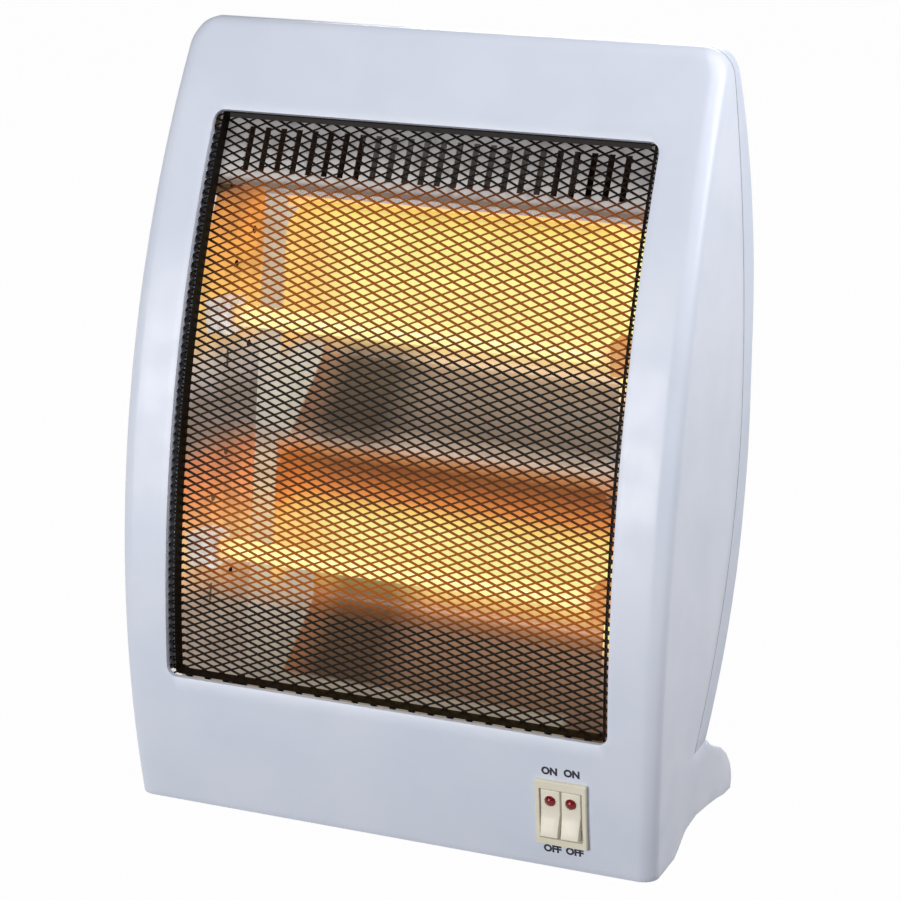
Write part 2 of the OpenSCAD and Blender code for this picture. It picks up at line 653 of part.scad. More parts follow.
module tube_forks() color("silver") both() for (p = [tube_up, tube_low]) at_tube(p)
  translate([wing_x(p) + 3.6, 0, 0]) difference() {
    box([0, -9, -9], [0.8, 9, 9]);
    x_rod(-1, 2, neck_dia + 0.2);
    box([-1, -neck_dia/2 - 0.1, -10], [2, neck_dia/2 + 0.1, 0]);
  }
module element_terminals() color("goldenrod") both() for (p = [tube_up, tube_low]) at_tube(p)
  translate([wing_x(p) + 8, 0, 0]) {
    box([0, -3, -4], [0.8, 3, 12]);
    box([0, -2.4, 11], [7, 2.4, 11.8]);
  }

// ---- Switch
module at_switch() at_front(switch_x, switch_z) children();
module switch_bezel() color("wheat") at_switch() difference() {
  union() {
    y_prism(-plate_t, 0) rounded_rect(-plate_w/2, -plate_h/2, plate_w/2, plate_h/2, 1);
    box([-box_w/2, -1, -box_h/2], [box_w/2, box_d, box_h/2]);
  }
  box([-box_w/2 + box_t, -5, -slot_half], [box_w/2 - box_t, box_d + 5, slot_half]);
  translate([0, pin_depth - plate_t, 0]) x_rod(-20, 20, pin_dia + 0.1);
}
module rocker_pin() color("silver") at_switch() translate([0, pin_depth - plate_t, 0])
  x_rod(-box_w/2 + 0.2, box_w/2 - 0.2, pin_dia);
// Side view of a rocker about its pin: round ends, two flats that meet in a shallow valley
module rocker_side() intersection() {
  circle(r = rocker_r, $fn = 96);
  polygon([[-flat_h/cos(rocker_swing/2), 0],
    [-flat_h/cos(rocker_swing/2) - 20*tan(rocker_swing/2), -20], [5, -20], [5, 20],
    [-flat_h/cos(rocker_swing/2) - 20*tan(rocker_swing/2), 20]]);
}
lens_z = 6.8;
module at_lens(s) at_switch() translate([s*rocker_pitch/2, face_recess - plate_t, lens_z]) children();
module bore_all() at_switch() translate([0, pin_depth - plate_t, 0]) x_rod(-big, big, pin_dia + 2*pin_play);
module rocker_right() rocker_final(1);
module rocker_left() rocker_final(-1);
module rocker_final(s) color("wheat") difference() {
  at_switch() translate([s*rocker_pitch/2, pin_depth - plate_t, 0]) rotate([-rocker_swing/2, 0, 0])
    x_prism(-rocker_w/2, rocker_w/2) rocker_side();
  bore_all();
  at_lens(s) y_rod(-3, 2, lens_dia + 0.2);
}
// Domed lens: a short rod with a rounded cap
dome_h = 1.5;
dome_r = (lens_dia*lens_dia/4 + dome_h*dome_h)/(2*dome_h);
dome_a = asin(lens_dia/2/dome_r);
module lens(s) color("red") at_lens(s) rotate([90, 0, 0]) rotate_extrude()
  polygon(concat([[0, -2], [lens_dia/2, -2]],
    [for (i = [6:-1:0]) [dome_r*sin(dome_a*i/6), dome_h - dome_r*(1 - cos(dome_a*i/6))]]));
module lens_left() lens(-1);
module lens_right() lens(1);
module switch_block() color("#303030") at_switch() {
  box([-box_w/2, box_d, -box_h/2], [box_w/2, box_d + 9, box_h/2]);
  for (x = [-rocker_pitch/2, rocker_pitch/2], z = [-9, 0, 9])
    translate([x, 0, z]) box([-2.4, box_d + 9, -0.4], [2.4, box_d + 17, 0.4]);
}

// ---- Tip-over switch
tip_w = 18;
tip_top = 36;
flange_z = base_z1 + gap;
module tip_switch_body() color("#404040") translate([tip_x, tip_y, 0]) difference() {
  box([-tip_w/2, -tip_w/2, base_z1], [tip_w/2, tip_w/2, tip_top]);
  translate([0, 0, base_z1 - 3]) cylinder(h = tip_top - base_z1 + 3 - 2, d = plunger_dia + 4.6);
}
module tip_plunger() color("white") translate([tip_x, tip_y, 0]) {
  cylinder(h = 28, d = plunger_dia);
  translate([0, 0, flange_z + plunger_travel]) cylinder(h = 1.5, d = plunger_dia + 4);
}
module tip_spring() color("silver") translate([tip_x, tip_y, flange_z + plunger_travel + 1.5]) difference() {
  cylinder(h = tip_top - 2 - flange_z - plunger_travel - 1.5, d = plunger_dia + 3);
  translate([0, 0, -1]) cylinder(h = 40, d = plunger_dia + 0.8);
}

module thermal_cutout() color("silver") mirror([1, 0, 0]) in_wing() translate([sheet, -24, 10]) {
  x_rod(0, 1, 24);
  x_rod(1, 7, 16);
  for (z = [-4, 4]) box([7, -3, z - 0.4], [13, 3, z + 0.4]);
}
module terminal_block() color("white") translate([-70, 30, base_z1]) difference() {
  box([-20, -9, 0], [20, 9, 14]);
  for (x = [-12, 0, 12]) translate([x, -10, 6]) y_rod(0, 20, 4);
  for (x = [-12, 0, 12]) translate([x, 0, 8]) cylinder(h = 10, d = 4.4);
}

// ---- Fasteners
module cover_screw(len) {
  y_rod(0, 2.4, head_dia);
  y_rod(-len, 0.1, screw_dia);
}
module housing_screws() color("silver") both() {
  for (z = post_z) translate([post_x, part_y(z) + 2.5, z]) cover_screw(14);
  for (y = base_y) translate([foot_in - 4, y, base_z0]) rotate([-90, 0, 0]) cover_screw(11);
}
module small_screw(len) {
  y_rod(0, 1.6, 5);
  y_rod(-len, 0.1, 2.5);
}
module plate_screws() color("silver") both() {
  for (z = plate_z) at_front(post_x - 2, z) translate([0, plate_d + sheet, 0]) small_screw(6);
  in_panel() translate([panel_screw_x, sheet/2, panel_screw_s]) small_screw(5);
}
module guard_screws() color("silver") both() for (z = guard_z) at_front(post_x - 2, z) translate([0, mesh_d1, 0]) {
  difference() {
    y_rod(0, 0.9, 15);
    y_rod(-1, 2, 2.8);
  }
  translate([0, 0.9, 0]) small_screw(3);
}

module place() translate([0, -mid_d, 0]) children();

place() front_housing();
place() rear_cover();
place() base_plate();
place() grille();
place() top_panel();
place() reflector();
place() end_plate_left();
place() end_plate_right();
place() quartz_tube_upper();
place() quartz_tube_lower();
place() filament_upper();
place() filament_lower();
place() cap_upper_left();
place() cap_upper_right();
place() cap_lower_left();
place() cap_lower_right();
place() tube_forks();
place() element_terminals();
place() switch_bezel();
place() switch_block();
place() rocker_pin();
place() rocker_left();
place() rocker_right();
place() lens_left();
place() lens_right();
place() tip_switch_body();
place() tip_plunger();
place() tip_spring();
place() thermal_cutout();
place() terminal_block();
place() cord_gland();
place() housing_screws();
place() plate_screws();
place() guard_screws();
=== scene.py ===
"""Look of the halogen heater: moulded housing, expanded-metal guard, glowing tubes, rocker switch."""
from math import acos, asin, cos, hypot, pi, radians, sin, sqrt, tan

import bmesh
import bpy
from mathutils import Matrix, Vector

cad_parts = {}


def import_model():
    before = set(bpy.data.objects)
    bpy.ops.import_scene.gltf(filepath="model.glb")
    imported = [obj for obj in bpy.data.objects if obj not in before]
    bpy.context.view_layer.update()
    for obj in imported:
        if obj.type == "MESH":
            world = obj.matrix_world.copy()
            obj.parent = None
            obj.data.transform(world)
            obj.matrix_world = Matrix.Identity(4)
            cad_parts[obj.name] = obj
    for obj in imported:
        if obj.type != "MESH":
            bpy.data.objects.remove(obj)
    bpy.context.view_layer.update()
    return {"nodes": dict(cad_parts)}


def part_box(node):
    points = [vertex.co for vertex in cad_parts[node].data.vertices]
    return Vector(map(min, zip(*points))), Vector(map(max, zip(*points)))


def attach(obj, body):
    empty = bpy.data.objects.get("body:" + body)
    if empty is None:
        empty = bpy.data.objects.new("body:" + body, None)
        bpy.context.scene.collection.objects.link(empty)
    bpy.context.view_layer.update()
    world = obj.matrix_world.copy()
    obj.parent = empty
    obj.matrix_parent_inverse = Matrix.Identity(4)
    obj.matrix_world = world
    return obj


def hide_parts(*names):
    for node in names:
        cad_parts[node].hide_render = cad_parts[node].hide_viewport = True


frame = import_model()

# ---------------------------------------------------------------- sizes, in millimetres
# x to the right, y backwards from the most forward line of the front, z up
MM = 0.001
LOW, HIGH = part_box("front_housing")
FRONT_Y = LOW.y / MM
HALF = HIGH.x / MM
BODY_H = HIGH.z / MM
BODY_D = 133.2
WALL = 2.5
COVER_WALL = 2.2
FRONT_R, FRONT_Z = 534.3, 84.4
SIDE_R, SIDE_Z = 4400, 188
EDGE_R, CORNER_R, BROW_R, BACK_EDGE_R = 8, 13, 4, 10
PART_D, PART_Z, PART_R_UP, PART_R_LOW = 111, 212, 685, 290
SEAM = 0.4
BACK_Z0, BACK_Z1, BACK_R_LOW, BACK_R_UP = 200, 235, 250, 300
FOOT_W, FOOT_H, HEEL_D, ARCH_H = 20, 45, 128, 9
WIN_W, WIN_Z, WIN_H, WIN_TAPER, WIN_R = 225, 67.9, 267.4, 0.0145, 5
WIN_TOP = WIN_Z + WIN_H
MESH_RECESS, MESH_T = 8.8, 0.8
FLANGE_SIDE, FLANGE_END, FOLD_W = 3.0, 0.6, 0.9
DIAMOND_W, DIAMOND_H, STRAND = 9.78, 4.11, 0.78
PAN_D, WEB_Z, LEAN = 73.2, 171, radians(7.97)
REFL_HALF, STRIP_W, PAN_TOP = 100, 11.5, 288
PAN_HALF = REFL_HALF - STRIP_W
SWITCH_X, SWITCH_Z = 90.9, 29.5
PLATE_W, PLATE_H, PLATE_T = 25.4, 34.1, 2
ROCKER_W, ROCKER_GAP, ROCKER_R = 9.4, 0.4, 12.75
ROCKER_SWING = radians(18)
PIN_DEPTH, FACE_RECESS = 4, 0.3
LENS_D, LENS_Z, DOME_H = 5.5, 6.8, 1.7
POST_X, POST_Z, HOLE_R = HALF - 13, (62, 190, 348), 4.1
GRIP_HALF, GRIP_Z, GRIP_H, GRIP_D, GRIP_R = 50, 297, 34, 96.5, 6
VENT_X, VENT_W, VENT_H, VENT_Z, VENT_N = 9, 3.2, 28, (100, 254), 9


# ---------------------------------------------------------------- curves of the body
def front_y(z, depth=0):
    return FRONT_R - sqrt((FRONT_R - depth) ** 2 - (z - FRONT_Z) ** 2)


def half_w(z, inset=0):
    return HALF - inset - SIDE_R + sqrt(SIDE_R ** 2 - (z - SIDE_Z) ** 2)


def part_y(z):
    r = PART_R_LOW if z < PART_Z else PART_R_UP
    return PART_D - r + sqrt(r * r - (z - PART_Z) ** 2)


def back_y(z, inset=0):
    if z < BACK_Z0:
        return BODY_D - BACK_R_LOW + sqrt((BACK_R_LOW - inset) ** 2 - (z - BACK_Z0) ** 2)
    if z > BACK_Z1:
        return BODY_D - BACK_R_UP + sqrt((BACK_R_UP - inset) ** 2 - (z - BACK_Z1) ** 2)
    return BODY_D - inset


def drop(z, top, r):
    return 0 if z <= top - r else r - sqrt(max(0, r * r - (z - top + r) ** 2))


def win_half(z):
    return WIN_W / 2 * (1 - WIN_TAPER * (z - WIN_Z - WIN_H / 2) / (WIN_H / 2) / 2)


FOOT_IN = half_w(0) - FOOT_W
HEEL = [(79.6, FOOT_H), (84.5, 40), (108, 28.7), (123, 16), (HEEL_D, 5), (HEEL_D, 0)]
SOLE = [(38, 0), (52, ARCH_H - 1.6), (67, ARCH_H), (89, ARCH_H * 2 / 3), (106, ARCH_H / 3), (118, 0)]


def at(points, x, key=0):
    """Height of a chain of points at x, or with key=1 the first coordinate at a height."""
    chain = sorted((p[key], p[1 - key]) for p in points)
    if x <= chain[0][0]:
        return chain[0][1]
    for (x0, y0), (x1, y1) in zip(chain, chain[1:]):
        if x <= x1:
            return y0 + (y1 - y0) * (x - x0) / (x1 - x0)
    return chain[-1][1]


def steps(z0, z1, step):
    n = max(1, round((z1 - z0) / step))
    return [z0 + (z1 - z0) * k / n for k in range(n)]


def place(p):
    return Vector((p[0] * MM, p[1] * MM + FRONT_Y * MM, p[2] * MM))


def front_frame(x, z, depth=0):
    """Frame on the front surface, in metres: +Y inwards, +Z up along the surface."""
    tilt = asin((FRONT_Z - z) / (FRONT_R - depth))
    spot = (x, FRONT_R - (FRONT_R - depth) * cos(tilt), z)
    return Matrix.Translation(place(spot)) @ Matrix.Rotation(tilt, 4, "X")


# ---------------------------------------------------------------- materials
def rgb(r, g, b):
    """Linear colour from the 0 to 255 values it is seen with."""
    def linear(c):
        return ((c / 255 + 0.055) / 1.055) ** 2.4 if c > 10 else c / 255 / 12.92

    return (linear(r), linear(g), linear(b), 1)


class Finish:
    """A procedural material: a principled shader with helpers for its inputs."""

    def __init__(self, name, base, rough=0.5, metal=0.0):
        self.mat = bpy.data.materials.new(name)
        self.mat.use_nodes = True
        self.tree = self.mat.node_tree
        self.shader = self.tree.nodes["Principled BSDF"]
        self.base = rgb(*base)
        self.set("Base Color", self.base)
        self.set("Roughness", rough)
        self.set("Metallic", metal)
        self.coords = self.node("ShaderNodeTexCoord").outputs["Object"]

    def node(self, kind, **inputs):
        made = self.tree.nodes.new(kind)
        for key, value in inputs.items():
            socket = made.inputs[key.replace("_", " ")]
            if isinstance(value, bpy.types.NodeSocket):
                self.tree.links.new(value, socket)
            else:
                socket.default_value = value
        return made

    def set(self, name, value):
        socket = self.shader.inputs[name]
        if isinstance(value, bpy.types.NodeSocket):
            self.tree.links.new(value, socket)
        else:
            socket.default_value = value
        return self

    def noise(self, scale, detail=3.0, stretch=(1, 1, 1)):
        moved = self.node("ShaderNodeMapping", Vector=self.coords, Scale=stretch).outputs[0]
        return self.node("ShaderNodeTexNoise", Vector=moved, Scale=scale, Detail=detail).outputs["Fac"]

    def math(self, op, a, b=0.0, c=0.0):
        made = self.tree.nodes.new("ShaderNodeMath")
        made.operation = op
        for socket, value in zip(made.inputs, (a, b, c)):
            if isinstance(value, bpy.types.NodeSocket):
                self.tree.links.new(value, socket)
            else:
                socket.default_value = value
        return made.outputs[0]

    def product(self, first, *others):
        for value in others:
            first = self.math("MULTIPLY", first, value)
        return first

    def span(self, value, lo, hi, to=(0.0, 1.0)):
        """Maps lo to hi onto the range given by to."""
        made = self.node("ShaderNodeMapRange", Value=value)
        for name, v in (("From Min", lo), ("From Max", hi), ("To Min", to[0]), ("To Max", to[1])):
            made.inputs[name].default_value = v
        return made.outputs[0]

    def mix(self, share, a, b):
        made = self.tree.nodes.new("ShaderNodeMix")
        made.data_type = "RGBA"
        for socket, value in zip((made.inputs[0], made.inputs[6], made.inputs[7]), (share, a, b)):
            if isinstance(value, bpy.types.NodeSocket):
                self.tree.links.new(value, socket)
            else:
                socket.default_value = value
        return made.outputs[2]

    def ramp(self, value, stops):
        """Colour along a value; stops are (value, colour) in rising order."""
        lo, hi = stops[0][0], stops[-1][0]
        made = self.node("ShaderNodeValToRGB", Fac=self.span(value, lo, hi))
        bar = made.color_ramp.elements
        while len(bar) < len(stops):
            bar.new(0.5)
        for element, (v, colour) in zip(bar, stops):
            element.position = (v - lo) / (hi - lo)
            element.color = rgb(*colour)
        return made.outputs["Color"]

    def axis(self, name):
        return self.node("ShaderNodeSeparateXYZ", Vector=self.coords).outputs[name]

    def along(self, name, lo, hi, to=(0.0, 1.0)):
        """Maps the places lo to hi on an axis, in millimetres, onto the range given by to."""
        return self.span(self.axis(name), lo * MM, hi * MM, to)

    def facing_y(self):
        normal = self.tree.nodes.new("ShaderNodeNewGeometry").outputs["Normal"]
        return self.node("ShaderNodeSeparateXYZ", Vector=normal).outputs["Y"]

    def blots(self, scale, detail, lo, hi, share, stretch=(1, 1, 1)):
        """Share of a second colour in soft blotches."""
        return self.span(self.noise(scale, detail, stretch), lo, hi, (0.0, share))

    def vary(self, other, scale, share=1.0, stretch=(1, 1, 1)):
        """Blotches of a second colour in the first."""
        blot = self.blots(scale, 4.0, 0.4, 0.65, share, stretch)
        return self.set("Base Color", self.mix(blot, self.base, rgb(*other)))

    def grain(self, scale, height, stretch=(1, 1, 1)):
        rise = self.noise(scale, 2.0, stretch)
        bump = self.node("ShaderNodeBump", Height=rise, Distance=height * MM, Strength=0.6)
        return self.set("Normal", bump.outputs[0])

    def worn(self, lo, hi, scale=60):
        return self.set("Roughness", self.span(self.noise(scale), 0.35, 0.7, (lo, hi)))


def plastic(name, base, other, rough=0.36, grain=1400):
    return Finish(name, base, rough).vary(other, 18).grain(grain, 0.05).worn(rough - 0.05, rough + 0.07).mat


def metal(name, base, other, rough=0.35, shine=1.0):
    made = Finish(name, base, rough, shine).vary(other, 90, 1.0, (1, 1, 4))
    return made.grain(500, 0.02, (0.2, 1, 3)).worn(rough - 0.08, rough + 0.15, 120).mat


HOUSING = plastic("housing_plastic", (214, 219, 233), (208, 214, 229))
CREAM = plastic("switch_cream", (233, 228, 210), (226, 219, 198), 0.3)
ROCKER = plastic("rocker_cream", (238, 233, 217), (230, 224, 206), 0.25)
BLACK = plastic("black_plastic", (38, 36, 38), (28, 27, 29), 0.45)
WHITE = plastic("white_plastic", (232, 230, 224), (220, 217, 209), 0.4)
RUBBER = plastic("rubber", (46, 46, 50), (36, 36, 40), 0.6, 700)
STEEL = metal("zinc_steel", (196, 198, 204), (160, 163, 172))
BASE = metal("base_sheet", (172, 174, 180), (140, 143, 150), 0.42)
BRASS = metal("brass_tabs", (206, 172, 96), (176, 140, 70), 0.3)
# the well behind the rockers is dark brown as painted shade for the gaps between them
DARK_WELL = plastic("switch_well", (58, 48, 38), (36, 30, 24), 0.55)


def glow(made, colour, strength, dim):
    """Painted light: the colour is given off as emission, standing in for the tubes' light on the surface;
    under lamps, and seen from behind, it stays darker.
    """
    dark = made.mix(1.0 - dim, colour, rgb(0, 0, 0))
    front = made.span(made.facing_y(), 0.55, 0.2)
    made.set("Base Color", dark).set("Emission Color", colour)
    return made.set("Emission Strength", made.product(front, strength))


# Colours that the two tubes throw on the pans, from the lower lip up to the fold (height in mm)
PAN_GLOW = [
    (48, (98, 76, 64)), (60, (122, 96, 80)), (68, (136, 106, 88)), (77, (146, 112, 92)),
    (84, (196, 142, 106)), (90, (252, 206, 126)), (98, (255, 246, 158)), (124, (255, 250, 160)),
    (131, (255, 220, 118)), (138, (240, 150, 78)), (146, (190, 104, 50)), (156, (144, 78, 40)),
    (161, (132, 74, 38)), (166, (190, 124, 74)), (171.5, (190, 150, 120)), (174, (188, 170, 154)),
    (178, (172, 154, 140)), (181, (126, 112, 102)), (194, (142, 126, 116)), (202, (160, 138, 122)),
    (209, (234, 196, 150)), (216, (254, 224, 140)), (224, (255, 248, 158)), (262, (255, 249, 154)),
    (276, (255, 246, 146)), (286, (255, 224, 114)), (291, (252, 190, 96)), (297, (232, 190, 150))]
# The same for the border strips beside the pans, and for the end plates
STRIP_GLOW = [
    (48, (150, 140, 126)), (84, (186, 174, 158)), (100, (206, 192, 168)), (112, (232, 212, 172)),
    (140, (232, 208, 166)), (160, (216, 198, 168)), (171, (190, 180, 164)), (192, (206, 198, 184)),
    (212, (216, 204, 184)), (240, (206, 190, 164)), (272, (198, 184, 160)), (286, (196, 188, 172)),
    (296, (196, 190, 184))]
WING_GLOW = [
    (50, (160, 146, 134)), (80, (172, 156, 142)), (98, (186, 164, 144)), (112, (240, 190, 144)),
    (126, (255, 214, 150)), (138, (255, 180, 118)), (152, (246, 154, 100)), (168, (222, 140, 100)),
    (174, (176, 140, 120)), (180, (146, 130, 122)), (196, (146, 132, 126)), (206, (186, 174, 168)),
    (216, (206, 190, 176)), (226, (252, 204, 140)), (238, (255, 208, 120)), (262, (255, 184, 96)),
    (284, (255, 168, 82)), (296, (176, 116, 76))]


def heights(made, table):
    return made.ramp(made.axis("Z"), [(z * MM, c) for z, c in table])


def cover_finish():
    """Moulded cover; its inner face, seen through the slots above the pans, is painted dark brown as shade.
    """
    made = Finish("cover_plastic", (205, 212, 228), 0.4).vary((198, 206, 222), 18)
    made.grain(1400, 0.05).worn(0.35, 0.47)
    outer = made.shader.inputs["Base Color"].links[0].from_socket
    inwards = made.span(made.facing_y(), -0.1, -0.4)
    # the painted shade is greyer behind the middle slots than behind the outer ones
    middle = made.product(made.along("X", -58, -52), made.along("X", 50, 44))
    inner = made.mix(middle, rgb(66, 38, 28), rgb(128, 118, 114))
    return made.set("Base Color", made.mix(inwards, outer, inner)).mat


def lower_halves(made):
    """1 in the lower part of both pans, where no tube shines straight on the sheet."""
    upper_pan = made.product(made.along("Z", 216, 209), made.along("Z", 168, 176))
    lower_pan = made.along("Z", 101, 93)
    return made.math("ADD", upper_pan, lower_pan)


def pan_mask(made, low):
    """1 in the pans and 0 on the border strips, told by the depth behind the flat of the sheet."""
    y = made.math("SUBTRACT", made.axis("Y"), (PAN_D + FRONT_Y) * MM)
    z = made.math("SUBTRACT", made.axis("Z"), WEB_Z * MM)
    deep = made.math("SUBTRACT", made.product(y, cos(LEAN)), made.product(z, sin(LEAN)))
    mask = made.span(deep, 0.8 * MM, 3.5 * MM)
    # towards the right the pans run on to the end plate
    right = made.product(made.along("X", 70, 74), made.along("Z", PAN_TOP + 1, PAN_TOP - 1))
    # between the strips, the edge above the pans and the web between them take the pans' colours
    width = made.span(made.math("ABSOLUTE", made.axis("X")), PAN_HALF * MM, (PAN_HALF - 2) * MM)
    above = made.product(made.along("Z", PAN_TOP - 4, PAN_TOP - 2), width)
    web = made.product(made.along("Z", 158, 160), made.along("Z", 183, 181), width)
    for other in (right, above, web):
        mask = made.math("MAXIMUM", mask, other)
    # the left strip looks wider beside the lower halves
    strip = made.product(made.along("X", -79.5, -81), low)
    return made.product(mask, made.math("SUBTRACT", 1.0, strip))


def reflector_finish():
    """Bright pressed sheet: two pans with the tubes' reflection painted on them as colour and glow, and
    grey strips beside them.
    """
    made = Finish("reflector_sheet", (230, 210, 180), 0.32, 0.35)
    low = lower_halves(made)
    in_pan = pan_mask(made, low)
    blot = made.blots(45, 4.0, 0.35, 0.7, 0.14, (1, 1, 2.5))
    pan = made.mix(blot, heights(made, PAN_GLOW), rgb(170, 124, 72))
    # painted warm light: the pans turn orange towards their left ends
    pan = made.mix(made.along("X", -62, -86, (0.0, 0.4)), pan, rgb(244, 140, 64))
    shade = made.product(made.along("X", -16, -38, (0.0, 0.72)), made.along("X", -62, -74, (1.0, 0.5)))
    pan = made.mix(made.product(shade, low), pan, rgb(44, 34, 28))
    flat = made.mix(made.product(blot, 1.6), heights(made, STRIP_GLOW), rgb(120, 96, 80))
    glow(made, made.mix(in_pan, flat, pan), 0.9, 0.14)
    return made.grain(300, 0.06, (1, 1, 3)).mat


def wing_finish():
    made = Finish("end_plate_sheet", (190, 170, 150), 0.4, 0.5)
    blot = made.blots(55, 5.0, 0.42, 0.62, 0.35)
    plate = made.mix(blot, heights(made, WING_GLOW), rgb(128, 104, 88))
    # painted highlight: the return edge along the front is painted near white, and like the rest of the
    # plate it is given off as painted glow
    y = made.math("SUBTRACT", made.axis("Y"), (FRONT_R + FRONT_Y) * MM)
    z = made.math("SUBTRACT", made.axis("Z"), FRONT_Z * MM)
    reach = made.math("SQRT", made.math("ADD", made.product(y, y), made.product(z, z)))
    edge = made.span(reach, (FRONT_R - 12) * MM, (FRONT_R - 11) * MM)
    glow(made, made.mix(edge, plate, rgb(238, 232, 226)), 0.85, 0.2)
    return made.grain(260, 0.08).mat


def panel_finish():
    """Grey slotted sheet with a weak painted glow, painted darker to the right and towards its top as
    shade, with a brown fold at its foot.
    """
    made = Finish("slotted_sheet", (120, 114, 112), 0.42, 0.4)
    # painted shade: the sheet darkens to the right and towards its top
    grey = made.mix(made.along("X", -20, 60, (0.0, 0.55)), rgb(246, 241, 238), rgb(228, 222, 220))
    grey = made.mix(made.along("Z", 310, 320, (0.0, 0.7)), grey, rgb(178, 174, 174))
    lit = made.mix(made.along("Z", 301.5, 299.5), grey, rgb(206, 200, 198))
    fold = made.product(made.along("Z", 305, 302.5), made.along("Z", 299.5, 300.8))
    lit = made.mix(fold, lit, rgb(160, 138, 124))
    blot = made.blots(130, 5.0, 0.5, 0.7, 0.4)
    glow(made, made.mix(blot, lit, rgb(120, 112, 110)), 0.26, 0.36)
    return made.grain(400, 0.05, (3, 1, 1)).mat


def quartz_finish():
    made = Finish("quartz_glass", (255, 226, 160), 0.08)
    ends = made.span(made.math("ABSOLUTE", made.axis("X")), 88 * MM, 97 * MM)
    hot = made.mix(ends, rgb(255, 247, 168), rgb(240, 190, 130))
    made.set("Base Color", made.mix(0.6, hot, rgb(0, 0, 0)))
    made.set("Emission Color", hot).set("Emission Strength", 0.9)
    rough = made.span(made.noise(200), 0.3, 0.7, (0.05, 0.14))
    return made.set("IOR", 1.46).set("Roughness", rough).mat


def filament_finish():
    """Glowing wire: bright turns at a fine pitch along the rod."""
    made = Finish("filament", (255, 200, 110), 0.5)
    pitch = 1.1 * MM
    wire = made.span(made.math("SINE", made.product(made.axis("X"), 2 * pi / pitch)), -1, 1)
    hot = made.mix(wire, rgb(255, 170, 70), rgb(255, 236, 160))
    return made.set("Base Color", hot).set("Emission Color", hot).set("Emission Strength", 3.0).mat


def ceramic_finish():
    """White caps at the left; those at the right face away and are painted orange for the glow they catch;
    all give off a weak painted glow.
    """
    made = Finish("ceramic", (236, 226, 210), 0.55)
    left = made.mix(made.blots(160, 5.0, 0.45, 0.65, 0.5), rgb(246, 244, 240), rgb(176, 166, 156))
    glow(made, made.mix(made.along("X", 0, 10), left, rgb(236, 176, 110)), 0.5, 0.6)
    return made.grain(500, 0.1).mat


def guard_finish():
    """Black enamel; its strands are lit a dull orange where the hot pans lie behind them."""
    made = Finish("guard_enamel", (14, 8, 5), 0.5).vary((22, 14, 9), 260).grain(900, 0.05)
    upper = made.product(made.along("Z", 232, 248), made.along("Z", 309, 300))
    lower = made.product(made.along("Z", 107, 118), made.along("Z", 196, 184),
                         made.along("Z", 166, 152, (0.3, 1.15)))
    # the rim at both sides stays black
    middle = made.product(made.along("X", -107, -84), made.along("X", 107.5, 106))
    made.set("Emission Color", rgb(186, 98, 10))
    made.set("Emission Strength", made.product(made.math("ADD", upper, lower), middle, 0.55))
    return made.set("Specular IOR Level", 0.14).mat


def lens_finish():
    made = Finish("red_lens", (138, 0, 8), 0.16).vary((100, 0, 4), 300)
    return made.set("Specular IOR Level", 0.3).set("Coat Weight", 0.15).set("Coat Roughness", 0.05).mat


def ink_finish():
    return Finish("label_ink", (10, 14, 36), 0.6).vary((8, 10, 26), 900).grain(2000, 0.01).mat


COVER = cover_finish()
REFLECTOR = reflector_finish()
WINGS = wing_finish()
PANEL = panel_finish()
QUARTZ = quartz_finish()
FILAMENT = filament_finish()
CERAMIC = ceramic_finish()
GUARD = guard_finish()
LENS = lens_finish()
INK = ink_finish()

CARRIED = {
    "base_plate": BASE, "top_panel": PANEL, "reflector": REFLECTOR, "end_plate_left": WINGS,
    "end_plate_right": WINGS, "quartz_tube_upper": QUARTZ, "quartz_tube_lower": QUARTZ,
    "filament_upper": FILAMENT, "filament_lower": FILAMENT, "cap_upper_left": CERAMIC,
    "cap_upper_right": CERAMIC, "cap_lower_left": CERAMIC, "cap_lower_right": CERAMIC,
    "tube_forks": STEEL, "element_terminals": BRASS, "switch_block": BLACK, "rocker_pin": STEEL,
    "tip_switch_body": BLACK, "tip_plunger": WHITE, "tip_spring": STEEL, "thermal_cutout": STEEL,
    "terminal_block": WHITE, "cord_gland": RUBBER, "housing_screws": STEEL, "plate_screws": STEEL,
    "guard_screws": STEEL}
for name, finish in CARRIED.items():
    data = frame["nodes"][name].data
    data.materials.clear()
    data.materials.append(finish)


# ---------------------------------------------------------------- mesh helpers
def to_scene(name, data):
    obj = bpy.data.objects.new(name, data)
    bpy.context.scene.collection.objects.link(obj)
    return obj


def turn_outwards(mesh):
    work = bmesh.new()
    work.from_mesh(mesh)
    bmesh.ops.recalc_face_normals(work, faces=work.faces)
    work.to_mesh(mesh)
    work.free()


def bake(obj, angle=32):
    """Applies the modifiers, then shades smooth except over sharp edges."""
    made = bpy.data.meshes.new_from_object(obj.evaluated_get(bpy.context.evaluated_depsgraph_get()))
    obj.modifiers.clear()
    obj.data = made
    made.name = obj.name
    made.shade_smooth()
    made.set_sharp_from_angle(angle=radians(angle))


